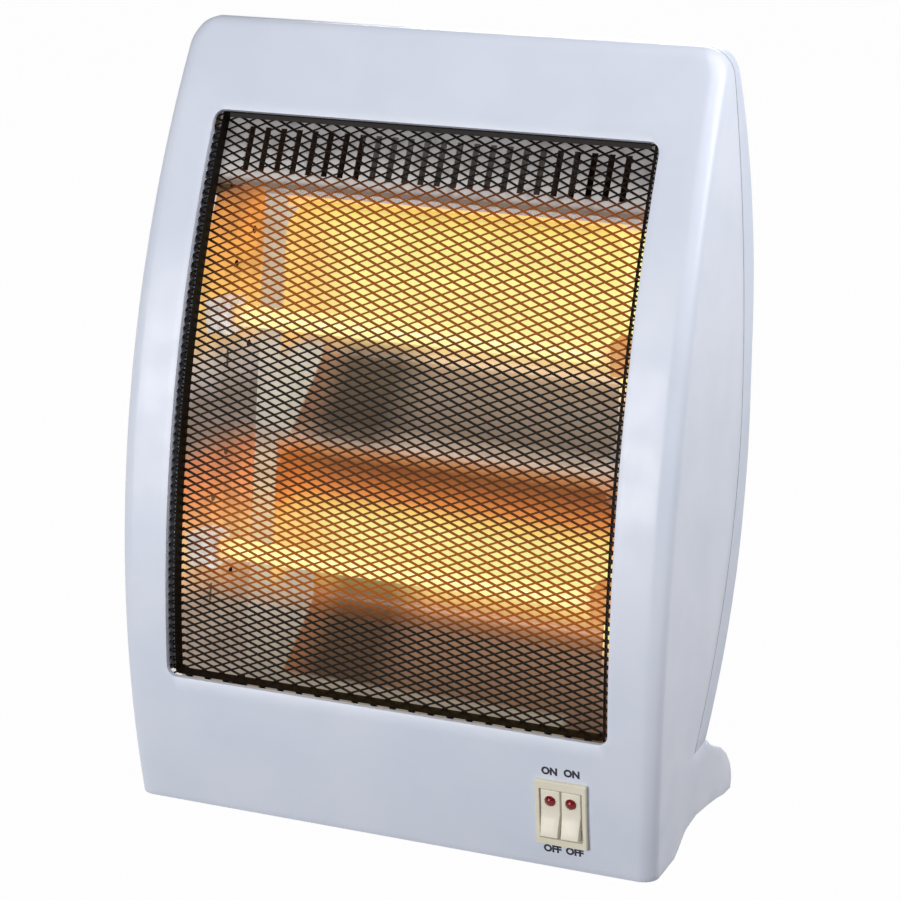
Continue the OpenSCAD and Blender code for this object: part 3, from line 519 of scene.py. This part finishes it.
def piece(name, points, faces, material, body="heater", matrix=None, outward=None):
    """A mesh piece; points are in millimetres, in the body's frame or in that of the matrix."""
    mesh = bpy.data.meshes.new(name)
    if matrix is None:
        mesh.from_pydata([place(p) for p in points], [], faces)
    else:
        mesh.from_pydata([matrix @ (Vector(p) * MM) for p in points], [], faces)
    work = bmesh.new()
    work.from_mesh(mesh)
    bmesh.ops.remove_doubles(work, verts=work.verts, dist=0.005 * MM)
    bmesh.ops.dissolve_degenerate(work, dist=0.002 * MM, edges=work.edges)
    bmesh.ops.recalc_face_normals(work, faces=work.faces)
    if outward is not None:
        probe = min(work.faces, key=lambda f: (f.calc_center_median() - outward[0]).length)
        if probe.normal.dot(outward[1]) < 0:
            bmesh.ops.reverse_faces(work, faces=work.faces)
    work.to_mesh(mesh)
    work.free()
    obj = to_scene(name, mesh)
    mesh.materials.append(material)
    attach(obj, body)
    return obj


def solidify(obj, thickness):
    made = obj.modifiers.new("wall", "SOLIDIFY")
    made.thickness = thickness * MM
    made.offset = -1
    made.use_even_offset = True


def bevel(obj, width, segments=2, angle=40):
    made = obj.modifiers.new("edge", "BEVEL")
    made.width = width * MM
    made.segments = segments
    made.limit_method = "ANGLE"
    made.angle_limit = radians(angle)
    made.use_clamp_overlap = True


def cut(obj, cutter):
    made = obj.modifiers.new("cut", "BOOLEAN")
    made.operation = "DIFFERENCE"
    made.solver = "EXACT"
    made.object = cutter
    bake(obj)
    bpy.data.objects.remove(cutter)


def loose(name, points, faces):
    """A cutter: a mesh in the scene that is removed once it has cut."""
    mesh = bpy.data.meshes.new(name)
    mesh.from_pydata([place(p) for p in points], [], faces)
    turn_outwards(mesh)
    return to_scene(name, mesh)


def ring_faces(rings, closed=True, caps=True):
    """Faces between rings of equally many points, numbered one ring after the other."""
    n = len(rings[0])
    last = n if closed else n - 1
    faces = [(k * n + i, k * n + (i + 1) % n, (k + 1) * n + (i + 1) % n, (k + 1) * n + i)
             for k in range(len(rings) - 1) for i in range(last)]
    if caps:
        faces += [tuple(range(n))[::-1], tuple((len(rings) - 1) * n + i for i in range(n))]
    return faces


def loop_faces(rings):
    """Faces between rings of which the last joins the first again."""
    count = len(rings) * len(rings[0])
    return [tuple(i % count for i in face) for face in ring_faces(rings + rings[:1], caps=False)]


def joined(rings):
    return [p for ring in rings for p in ring]


def turned_rings(profile, n):
    """Circles about the Y axis; the profile is a list of (radius, y)."""
    return [[(r * cos(2 * pi * i / n), y, r * sin(2 * pi * i / n)) for i in range(n)] for r, y in profile]


def rounded(x0, z0, x1, z1, r, n=6):
    """Outline of a rounded rectangle, counterclockwise."""
    spots = [(x1 - r, z0 + r, -90), (x1 - r, z1 - r, 0), (x0 + r, z1 - r, 90), (x0 + r, z0 + r, 180)]
    return [(x + r * cos(radians(a + 90 * k / n)), z + r * sin(radians(a + 90 * k / n)))
            for x, z, a in spots for k in range(n + 1)]


def turned(name, profile, material, matrix, body="heater", n=40):
    """A solid piece turned about local Y, closed at both ends of its profile."""
    rings = turned_rings(profile, n)
    return piece(name, joined(rings), ring_faces(rings), material, body, matrix)


# ---------------------------------------------------------------- housing
def housing_shell():
    """Front, sides and top as one moulded sheet with the window left out, then given its wall."""
    arc = [0, 18, 36, 54, 72, 90]
    low_arc = [WIN_Z + WIN_R * (1 - cos(radians(a))) for a in arc]
    top_arc = [WIN_TOP - WIN_R * (1 - cos(radians(a))) for a in reversed(arc)]
    crown = [BODY_H - CORNER_R * (1 - sin(radians(a))) for a in range(0, 91, 9)]
    levels = [0, 3, 6, 9, 12, 15, 20, 25, 30, 36, FOOT_H - 2.5, FOOT_H]
    levels += steps(FOOT_H, WIN_Z, 7)[1:] + low_arc + steps(low_arc[-1], top_arc[0], 7)[1:] + top_arc
    levels += steps(WIN_TOP, crown[0], 6)[1:] + crown
    foot_join = part_y(FOOT_H)

    def half_row(z):
        w = half_w(z) - drop(z, BODY_H, CORNER_R)
        y0 = front_y(z) + drop(z, BODY_H, BROW_R)
        yb = part_y(max(z, FOOT_H))
        r = min(EDGE_R, 0.8 * (yb - y0))
        heel = max(foot_join, min(at(HEEL, z, 1), HEEL_D) - 2.5)
        row = [(w, heel + (foot_join - heel) * k / 6, z) for k in range(6)]
        row += [(w, yb + (y0 + r - yb) * k / 8, z) for k in range(8)]
        row += [(w - r + r * cos(pi / 2 * k / 10), y0 + r - r * sin(pi / 2 * k / 10), z) for k in range(11)]
        zc = min(max(z, WIN_Z), WIN_TOP)
        near = min(zc - WIN_Z, WIN_TOP - zc)
        edge = win_half(zc) - (drop(WIN_R - near, WIN_R, WIN_R) if near < WIN_R else 0)
        row += [(w - r + (edge - w + r) * k / 5, y0, z) for k in range(1, 6)]
        # the sole arches over the floor
        lift = [at(SOLE, y) if SOLE[0][0] < y < SOLE[-1][0] else 0 for _, y, _ in row]
        return [(x, y, zz + up * max(0, 15 - zz) / 15) for (x, y, zz), up in zip(row, lift)]

    rows = [half_row(z) for z in levels]
    n, foot_n = len(rows[0]), 6
    points = [p for row in rows for p in row] + [(-x, y, z) for row in rows for x, y, z in row]
    mirror = n * len(rows)
    faces = []
    for k, (za, zb) in enumerate(zip(levels, levels[1:])):
        a, b = k * n, (k + 1) * n
        first = 0 if zb <= FOOT_H - 2.4 else foot_n
        for c in range(first, n - 1):
            quad = (a + c, b + c, b + c + 1, a + c + 1)
            faces += [quad, tuple(mirror + i for i in reversed(quad))]
        if not (WIN_Z - 0.001 <= za and zb <= WIN_TOP + 0.001):
            faces.append((a + n - 1, b + n - 1, mirror + b + n - 1, mirror + a + n - 1))
    top = (len(rows) - 1) * n
    for c in range(foot_n, n - 6):
        faces.append((top + c, mirror + top + c, mirror + top + c + 1, top + c + 1))
    obj = piece("housing_shell", points, faces, HOUSING, outward=(place((0, 0, 40)), Vector((0, -1, 0))))
    solidify(obj, WALL)
    bevel(obj, 0.45, 2, 50)
    bake(obj)
    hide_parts("front_housing")


def foot(side):
    """Runner foot: hollowed below, with a rounded heel that slopes down to the back."""
    heel = [(62, FOOT_H), (76, FOOT_H), (82.5, 42.6), (90, 37.2), (108, 28.7), (116, 23.2), (123, 16),
            (126.4, 10), (HEEL_D, 5), (HEEL_D, 0)]
    sole = [(y, z + 0.02) for y, z in reversed(SOLE)]
    outline = heel + sole + [(12, 0.02), (12, FOOT_H)]
    rings = [[(side * FOOT_IN, y, z) for y, z in outline],
             [(side * (half_w(z) - 0.06), y, z) for y, z in outline]]
    name = "foot_right" if side > 0 else "foot_left"
    obj = piece(name, joined(rings), ring_faces(rings), HOUSING)
    bevel(obj, 2.2, 4, 28)
    bake(obj)
    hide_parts("front_housing")


def boxes(spans):
    """Points and faces of several upright boxes, each ((x0, y0, z0), (x1, y1, z1))."""
    points, faces = [], []
    for a, b in spans:
        k = len(points)
        points += [(x, y, z) for x in (a[0], b[0]) for y in (a[1], b[1]) for z in (a[2], b[2])]
        faces += [tuple(k + i for i in f) for f in
                  ((0, 1, 3, 2), (4, 6, 7, 5), (0, 4, 5, 1), (2, 3, 7, 6), (0, 2, 6, 4), (1, 5, 7, 3))]
    return points, faces


def cover_shell():
    """Back of the heater: curved from top to bottom, rounded into the sides, ending between the feet."""
    flat = [FOOT_IN - 0.3, 76, 38, 0]
    levels = [12.3, 20, 28, 36, FOOT_H + SEAM] + steps(FOOT_H + SEAM, BODY_H - CORNER_R, 7)[1:]
    levels += [BODY_H - CORNER_R * (1 - sin(radians(a))) for a in range(0, 91, 9)]

    def half_row(z):
        w = half_w(z) - drop(z, BODY_H, CORNER_R)
        e, dip = BACK_EDGE_R, drop(z, BODY_H, BROW_R)
        first = acos(min(1, max(0, (w - HALF + e) / e)))
        bend = []
        for k in range(9):
            t = first + (pi / 2 - first) * k / 8
            bend.append((min(w, HALF - e + e * cos(t)), back_y(z, e - e * sin(t)) - dip, z))
        seam = part_y(z) + SEAM
        side = [(w, seam + (bend[0][1] - seam) * k / 6, z) for k in range(6)]
        return side + bend + [(min(w, x), back_y(z) - dip, z) for x in flat]

    rows = [half_row(z) for z in levels]
    n, first_flat = len(rows[0]), len(rows[0]) - len(flat)
    points = [p for row in rows for p in row] + [(-x, y, z) for row in rows for x, y, z in row]
    mirror = n * len(rows)
    faces = []
    for k, za in enumerate(levels[:-1]):
        for c in range(first_flat if za < FOOT_H else 0, n - 1):
            quad = (k * n + c, k * n + c + 1, (k + 1) * n + c + 1, (k + 1) * n + c)
            faces += [quad, tuple(mirror + i for i in reversed(quad))]
    top = (len(rows) - 1) * n
    for c in range(first_flat):
        faces.append((top + c, top + c + 1, mirror + top + c + 1, mirror + top + c))
    obj = piece("cover_shell", points, faces, COVER, outward=(place((0, BODY_D, 218)), Vector((0, 1, 0))))
    solidify(obj, COVER_WALL)
    bevel(obj, 0.35, 2, 50)
    bake(obj)
    w, h = VENT_W / 2, VENT_H / 2
    slots = [((i * VENT_X - w, 80, z - h), (i * VENT_X + w, BODY_D + 5, z + h))
             for i in range(-VENT_N, VENT_N + 1) for z in VENT_Z]
    cut(obj, loose("slot_cutter", *boxes(slots)))
    rim = rounded(-GRIP_HALF, GRIP_Z, GRIP_HALF, GRIP_Z + GRIP_H, GRIP_R)
    rings = [[(x, y, z) for x, z in rim] for y in (90, BODY_D + 5)]
    cut(obj, loose("grip_cutter", joined(rings), ring_faces(rings)))
    for x in (-POST_X, POST_X):
        for z in POST_Z:
            hole = turned_rings([(HOLE_R, part_y(z) + 2), (HOLE_R, BODY_D + 5)], 24)
            rings = [[(x + a, y, z + b) for a, y, b in ring] for ring in hole]
            cut(obj, loose("hole_cutter", joined(rings), ring_faces(rings)))
    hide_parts("rear_cover")


def handle_pocket():
    """Recess for the fingers in the back: four walls and a floor, open to the rear."""
    rim = rounded(-GRIP_HALF, GRIP_Z, GRIP_HALF, GRIP_Z + GRIP_H, GRIP_R)
    rings = [[(x, back_y(z) - 0.25, z) for x, z in rim]]
    for inset, y in ((0, GRIP_D + 3), (0.9, GRIP_D + 0.9), (3, GRIP_D)):
        rings.append([(x, y, z) for x, z in rounded(
            -GRIP_HALF + inset, GRIP_Z + inset, GRIP_HALF - inset, GRIP_Z + GRIP_H - inset, GRIP_R)])
    faces = ring_faces(rings, caps=False) + [tuple(range(3 * len(rings[0]), 4 * len(rings[0])))]
    obj = piece("handle_pocket", joined(rings), faces, COVER,
                outward=(place((0, GRIP_D, GRIP_Z + GRIP_H / 2)), Vector((0, 1, 0))))
    solidify(obj, 1.6)
    bake(obj)
    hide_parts("rear_cover")


def screw_cup(x, z):
    """Round sleeve that leads a screwdriver down to the head of a housing screw."""
    back = back_y(z + (4 if z > BACK_Z1 else -4)) - 0.9
    seat = part_y(z) + 2.3
    profile = [(5.4, seat), (5.4, back), (4.15, back), (4.15, seat)]
    matrix = Matrix.Translation(place((x, 0, z)))
    rings = turned_rings(profile, 28)
    name = "screw_cup_%s_%d" % ("right" if x > 0 else "left", z)
    obj = piece(name, joined(rings), loop_faces(rings), COVER, matrix=matrix)
    bake(obj)
    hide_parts("rear_cover")


housing_shell()
foot(1)
foot(-1)
cover_shell()
handle_pocket()
for post_x in (-POST_X, POST_X):
    for post_z in POST_Z:
        screw_cup(post_x, post_z)


# ---------------------------------------------------------------- expanded-metal guard
def mesh_depth(x, z):
    """Depth of the guard behind the front surface: a flange, a steep fold and the recessed field."""
    side = (win_half(z) - abs(x) - FLANGE_SIDE) / FOLD_W
    end = (min(z - WIN_Z, WIN_TOP - z) - FLANGE_END) / FOLD_W
    lip = WALL + 0.35
    return lip + (MESH_RECESS - lip) * min(1, max(0, min(side, end)))


def mesh_guard():
    """Staggered diamonds; each is a frame of four strands whose upper pair leans forward."""
    a, b = DIAMOND_W / 2, DIAMOND_H / 2
    across, rise, over = 23, 65, 4.5
    shrink = 1 - STRAND / 2 / (a * b / hypot(a, b))
    points, faces, known = [], [], {}

    def spot(x, z, back, shared):
        """Point on the front (0) or back (MESH_T) of the sheet; the middles of strands are shared."""
        key = (round(x, 3), round(z, 3), back)
        if not shared or key not in known:
            known[key] = len(points)
            points.append((x, front_y(z, mesh_depth(x, z) + back), z))
        return known[key]

    def strand(outer, inner, parts):
        """Half of a strand, from one end of the diamond to the next; ends are (x, z, lean)."""
        row = []
        lines = [list(zip(*ends)) for ends in (outer, inner)]
        for k in range(parts + 1):
            (x, z, _), (hx, hz, lean) = ([p + (q - p) * k / parts for p, q in line] for line in lines)
            row.append([spot(x, z, 0, True), spot(x, z, MESH_T, True),
                        spot(hx, hz, lean, False), spot(hx, hz, MESH_T + lean, False)])
        for (f0, b0, h0, g0), (f1, b1, h1, g1) in zip(row, row[1:]):
            faces.extend([(f0, f1, h1, h0), (b1, b0, g0, g1), (h0, h1, g1, g0)])

    for i in range(-across - 1, across + 2):
        for j in range(-2, 2 * rise + 4):
            x, z = i * a, WIN_Z + j * b
            if (i + j) % 2 or abs(x) > win_half(z) + over or not WIN_Z - over < z < WIN_TOP + over:
                continue
            near_side = abs(x) + a > win_half(z) - FLANGE_SIDE - FOLD_W
            near_end = min(z - WIN_Z, WIN_TOP - z) - b < FLANGE_END + FOLD_W
            parts = 4 if near_side else 2 if near_end else 1
            tips = [(a, 0, 0), (0, b, -0.22), (-a, 0, 0), (0, -b, 0.22)]
            outer = [(x + dx, z + dz, 0) for dx, dz, _ in tips]
            inner = [(x + dx * shrink, z + dz * shrink, lean) for dx, dz, lean in tips]
            for k in range(4):
                m = (k + 1) % 4
                strand((outer[k], outer[m]), (inner[k], inner[m]), parts)
    mesh = bpy.data.meshes.new("mesh_guard")
    mesh.from_pydata([place(p) for p in points], [], faces)
    turn_outwards(mesh)
    obj = to_scene("mesh_guard", mesh)
    mesh.materials.append(GUARD)
    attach(obj, "heater")
    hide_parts("grille")


def window_path(side, end):
    """Closed path inside the window, at one distance from its sides and another from its ends."""
    z0, z1, r = WIN_Z + end, WIN_TOP - end, max(0.8, WIN_R - side)
    path = []
    for right, middle, start in ((1, z0 + r, -90), (1, z1 - r, 0), (-1, z1 - r, 90), (-1, z0 + r, 180)):
        for k in range(7):
            t = radians(start + 15 * k)
            z = middle + r * sin(t)
            path.append((right * (win_half(z) - side - r) + r * cos(t), z))
        if start in (0, 180):
            x_end = right * (r + side - win_half(z1 if right > 0 else z0))
            path += [(path[-1][0] + (x_end - path[-1][0]) * k / 24, path[-1][1]) for k in range(1, 24)]
        else:
            end_z = (z1 if right > 0 else z0) + (-r if right > 0 else r)
            first = path[-1][1]
            for k in range(1, 36):
                z = first + (end_z - first) * k / 36
                path.append((right * (win_half(z) - side), z))
    return path


def sheet_strip(name, rows, closed, material, replaced):
    """Thin strip through rows of points."""
    faces = ring_faces(rows, closed, caps=False)
    obj = piece(name, joined(rows), faces, material)
    solidify(obj, 0.35)
    bake(obj)
    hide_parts(replaced)


def window_lip(side):
    """White lip of the housing behind the edge of the window, at its left or right side."""
    edges = ((-1.2, WALL + 0.1), (0.1, WALL + 0.2), (0.7, 6.6), (2.4, 7.0))
    rows = [[(side * (win_half(z) - inset), front_y(z, depth), z) for z in steps(WIN_Z + 2, WIN_TOP - 2, 7)]
            for inset, depth in edges]
    name = "window_lip_right" if side > 0 else "window_lip_left"
    sheet_strip(name, rows, False, HOUSING, "front_housing")


def guard_fold():
    """Steep wall between the flange and the field, where the strands close up."""
    edges = ((FLANGE_SIDE, FLANGE_END, WALL + 0.8),
             (FLANGE_SIDE + FOLD_W * 0.8, FLANGE_END + FOLD_W, MESH_RECESS + 0.1))
    rows = [[(x, front_y(z, depth), z) for x, z in window_path(side, end)] for side, end, depth in edges]
    sheet_strip("guard_fold", rows, True, GUARD, "grille")


def guard_top_band():
    """Folded top of the guard, where the sheet is left solid; its black band also stands for the painted
    shade under the housing's top edge.
    """
    edges = ((-1.5, WALL + 0.3), (0.4, WALL + 0.4), (2.2, WALL + 2.2), (4.4, WALL + 3.0))
    rows = [[(x, front_y(WIN_TOP - inset, depth), WIN_TOP - inset) for x in steps(-106, 106.01, 8) + [106]]
            for inset, depth in edges]
    sheet_strip("guard_top_band", rows, False, GUARD, "grille")


window_lip(-1)
window_lip(1)
guard_fold()
guard_top_band()
mesh_guard()

# ---------------------------------------------------------------- rocker switch
AT_SWITCH = front_frame(SWITCH_X, SWITCH_Z)
WELL_X = ROCKER_W + 1.5 * ROCKER_GAP
WELL_Z = ROCKER_R + 0.3
ROCKER_PITCH = ROCKER_W + 2 * ROCKER_GAP
# printed words: height of a capital and its share of the font's size, thickening of the strokes,
# thickness of the ink and how far its middle stands off the surface
CAP_HEIGHT, CAP_SHARE, STROKE, INK_T, INK_LIFT = 3.4, 0.69, 0.26, 0.02, 0.03


def switch_frame():
    """Cream frame around the two rockers, with a dark well behind them whose dark brown is painted shade.
    """
    outer = rounded(-PLATE_W / 2, -PLATE_H / 2 + 0.4, PLATE_W / 2, PLATE_H / 2, 0.7)
    inner = rounded(-WELL_X - 0.6, -WELL_Z, WELL_X + 0.6, WELL_Z, 0.5)
    rings = [[(x, 0.3, z) for x, z in outer], [(x, -PLATE_T + 0.5, z) for x, z in outer],
             [(x * 0.968, -PLATE_T, z * 0.976) for x, z in outer], [(x, -PLATE_T, z) for x, z in inner],
             [(x, 6, z) for x, z in inner], [(x * 1.05, 6, z * 1.04) for x, z in inner],
             [(x * 1.05, 0.3, z * 1.04) for x, z in inner]]
    obj = piece("switch_frame", joined(rings), loop_faces(rings), CREAM, matrix=AT_SWITCH)
    bake(obj, 28)
    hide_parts("switch_bezel")
    # painted shade: a dark sheet closes the well behind the rockers
    rings = [[(x * 1.02, y, z * 1.01) for x, z in inner] for y in (5.6, 6.4)]
    well = piece("switch_well", joined(rings), ring_faces(rings), DARK_WELL,
                 matrix=AT_SWITCH)
    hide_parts("switch_bezel")


def at_rocker(side, depth, z):
    """Frame on the middle line of a rocker, at a depth behind the face of the frame."""
    return AT_SWITCH @ Matrix.Translation(Vector((side * ROCKER_PITCH / 2, depth - PLATE_T, z)) * MM)


def rocker(side):
    """Rocker in its ON place: round ends about the pin, a shallow valley across its face."""
    flat = (PIN_DEPTH - FACE_RECESS) / cos(ROCKER_SWING / 2)
    slope = tan(ROCKER_SWING / 2)
    # where the face meets the round end: |(-flat - t*slope, t)| = radius
    qa, qb, qc = 1 + slope ** 2, 2 * flat * slope, flat ** 2 - ROCKER_R ** 2
    tip_z = (-qb + sqrt(qb * qb - 4 * qa * qc)) / (2 * qa)
    tip = asin(tip_z / ROCKER_R)
    end = pi - asin(sqrt(ROCKER_R ** 2 - 25) / ROCKER_R)
    turns = [tip + (end - tip) * k / 10 for k in range(11)]
    arc = [(-ROCKER_R * cos(t), ROCKER_R * sin(t)) for t in turns]
    upper = [(-flat - slope * tip_z * k / 4, tip_z * k / 4) for k in range(4)] + arc
    outline = upper + [(y, -z) for y, z in reversed(upper[1:])]

    def half_width(y, z):
        """The face narrows a little towards its lower edge."""
        return ROCKER_W / 2 - 0.55 * min(1, max(0, (-y - flat) / 2)) * (z < 0)

    rings = [[(s * half_width(y, z), y, z) for y, z in outline] for s in (-1, 1)]
    matrix = at_rocker(side, PIN_DEPTH, 0) @ Matrix.Rotation(-ROCKER_SWING / 2, 4, "X")
    name = "rocker_right" if side > 0 else "rocker_left"
    faces = ring_faces(rings)
    obj = piece(name + "_face", joined(rings), faces, ROCKER, name, matrix)
    bevel(obj, 0.4, 3, 30)
    bake(obj)
    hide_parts(name)


def lens(side):
    """Domed red lens in a thin collar, set in the upper half of the rocker."""
    matrix = at_rocker(side, FACE_RECESS, LENS_Z)
    ball = (LENS_D ** 2 / 4 + DOME_H ** 2) / (2 * DOME_H)
    spread = asin(LENS_D / 2 / ball)
    turns = [spread * k / 8 for k in range(9)]
    dome = [(max(0.01, ball * sin(t)), -DOME_H + ball * (1 - cos(t))) for t in turns]
    word = "right" if side > 0 else "left"
    obj = turned("lens_%s_dome" % word, dome + [(LENS_D / 2, 1.5)], LENS, matrix, "rocker_" + word)
    bake(obj, 40)
    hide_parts("lens_" + word)
    r = LENS_D / 2
    collar = [(r + 0.05, -0.05), (r + 0.1, -0.2), (r + 0.4, -0.2),
              (r + 0.5, 0.05), (r + 0.5, 0.4), (r + 0.05, 0.4)]
    ring = turned("lens_%s_collar" % word, collar, ROCKER, matrix, "rocker_" + word)
    bake(ring, 40)
    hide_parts("lens_" + word)


def word_label(name, text, x, z):
    """Printed word: letters of a hair's thickness, laid on the front surface."""
    curve = bpy.data.curves.new(name, "FONT")
    curve.body = text
    curve.align_x = "CENTER"
    curve.align_y = "CENTER"
    curve.size = CAP_HEIGHT * MM / CAP_SHARE
    curve.offset = STROKE * MM
    curve.extrude = INK_T * MM
    curve.resolution_u = 8
    draft = to_scene(name + "_draft", curve)
    bpy.context.view_layer.update()
    mesh = bpy.data.meshes.new_from_object(draft.evaluated_get(bpy.context.evaluated_depsgraph_get()))
    bpy.data.objects.remove(draft)
    surface = front_frame(x, z) @ Matrix.Translation((0, -INK_LIFT * MM, 0))
    mesh.transform(surface @ Matrix.Rotation(pi / 2, 4, "X"))
    mesh.materials.clear()
    mesh.materials.append(INK)
    obj = to_scene(name, mesh)
    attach(obj, "heater")


switch_frame()
for side in (-1, 1):
    rocker(side)
    lens(side)
word_label("label_on_left", "ON", 85.0, 50.6)
word_label("label_on_right", "ON", 96.0, 50.9)
word_label("label_off_left", "OFF", 85.5, 9.7)
word_label("label_off_right", "OFF", 96.5, 9.9)


# ---------------------------------------------------------------- floor, light, camera
# share of white in the floor where it is seen directly; the rest shows the shadow
FLOOR_WHITE = 0.985


def floor():
    """Large pale floor; seen directly it is near white and keeps the shadow."""
    made = Finish("studio_floor", (92, 92, 94), 0.9)
    tree = made.tree
    path = tree.nodes.new("ShaderNodeLightPath")
    seen = made.math("MAXIMUM", path.outputs["Is Glossy Ray"], path.outputs["Is Transmission Ray"])
    seen = made.math("MAXIMUM", path.outputs["Is Camera Ray"], seen)
    light = made.node("ShaderNodeEmission", Color=(1, 1, 1, 1), Strength=1.0)
    blend = tree.nodes.new("ShaderNodeMixShader")
    tree.links.new(made.math("MULTIPLY", seen, FLOOR_WHITE), blend.inputs[0])
    tree.links.new(made.shader.outputs[0], blend.inputs[1])
    tree.links.new(light.outputs[0], blend.inputs[2])
    tree.links.new(blend.outputs[0], tree.nodes["Material Output"].inputs["Surface"])
    size, low = 14, -0.0002
    corners = [(-size, -size, low), (size, -size, low), (size, size, low), (-size, size, low)]
    mesh = bpy.data.meshes.new("floor")
    mesh.from_pydata(corners, [], [(0, 1, 2, 3)])
    obj = to_scene("floor", mesh)
    mesh.materials.append(made.mat)


def world(ambient):
    """Even light from all round; seen directly, or through glass, the surround is plain white."""
    made = bpy.data.worlds.new("studio")
    bpy.context.scene.world = made
    made.use_nodes = True
    tree = made.node_tree
    back = tree.nodes["Background"]
    back.inputs["Color"].default_value = (1, 1, 1, 1)
    path = tree.nodes.new("ShaderNodeLightPath")
    any_ray = tree.nodes.new("ShaderNodeMath")
    any_ray.operation = "MAXIMUM"
    tree.links.new(path.outputs["Is Camera Ray"], any_ray.inputs[0])
    tree.links.new(path.outputs["Is Transmission Ray"], any_ray.inputs[1])
    strength = tree.nodes.new("ShaderNodeMapRange")
    strength.inputs["To Min"].default_value = ambient
    strength.inputs["To Max"].default_value = 1.0
    tree.links.new(any_ray.outputs[0], strength.inputs["Value"])
    tree.links.new(strength.outputs[0], back.inputs["Strength"])


def lamp(name, spot, aim, size, watts):
    data = bpy.data.lights.new(name, "AREA")
    data.shape = "RECTANGLE"
    data.size, data.size_y = size
    data.energy = watts
    obj = to_scene(name, data)
    obj.location = spot
    obj.rotation_euler = (Vector(aim) - Vector(spot)).to_track_quat("-Z", "Y").to_euler()


# solved from the photo: place in metres, angles in radians, lens in millimetres
CAMERA_SPOT = (0.494654, -1.160202, 0.565453)
CAMERA_TURN = 0.397087
CAMERA_PITCH = 0.298635
CAMERA_LENS = 110


def camera():
    data = bpy.data.cameras.new("camera")
    data.lens = CAMERA_LENS
    data.sensor_width = 36
    obj = to_scene("camera", data)
    obj.location = CAMERA_SPOT
    obj.rotation_euler = (pi / 2 - CAMERA_PITCH, 0, CAMERA_TURN)
    bpy.context.scene.camera = obj


CENTRE = (0, 0, 0.19)
camera()
floor()
world(ambient=0.2)
lamp("key", (-0.75, -1.95, 0.5), CENTRE, (1.0, 1.0), 31)
lamp("top", (0.7, -0.5, 1.9), CENTRE, (1.4, 1.0), 8)
lamp("side", (0.62, 0.05, 0.62), (0.1, 0.02, 0.28), (0.3, 0.5), 3.6)
lamp("back", (-0.4, 1.9, 0.9), CENTRE, (1.0, 1.0), 14)
bpy.context.scene.view_settings.view_transform = "Standard"
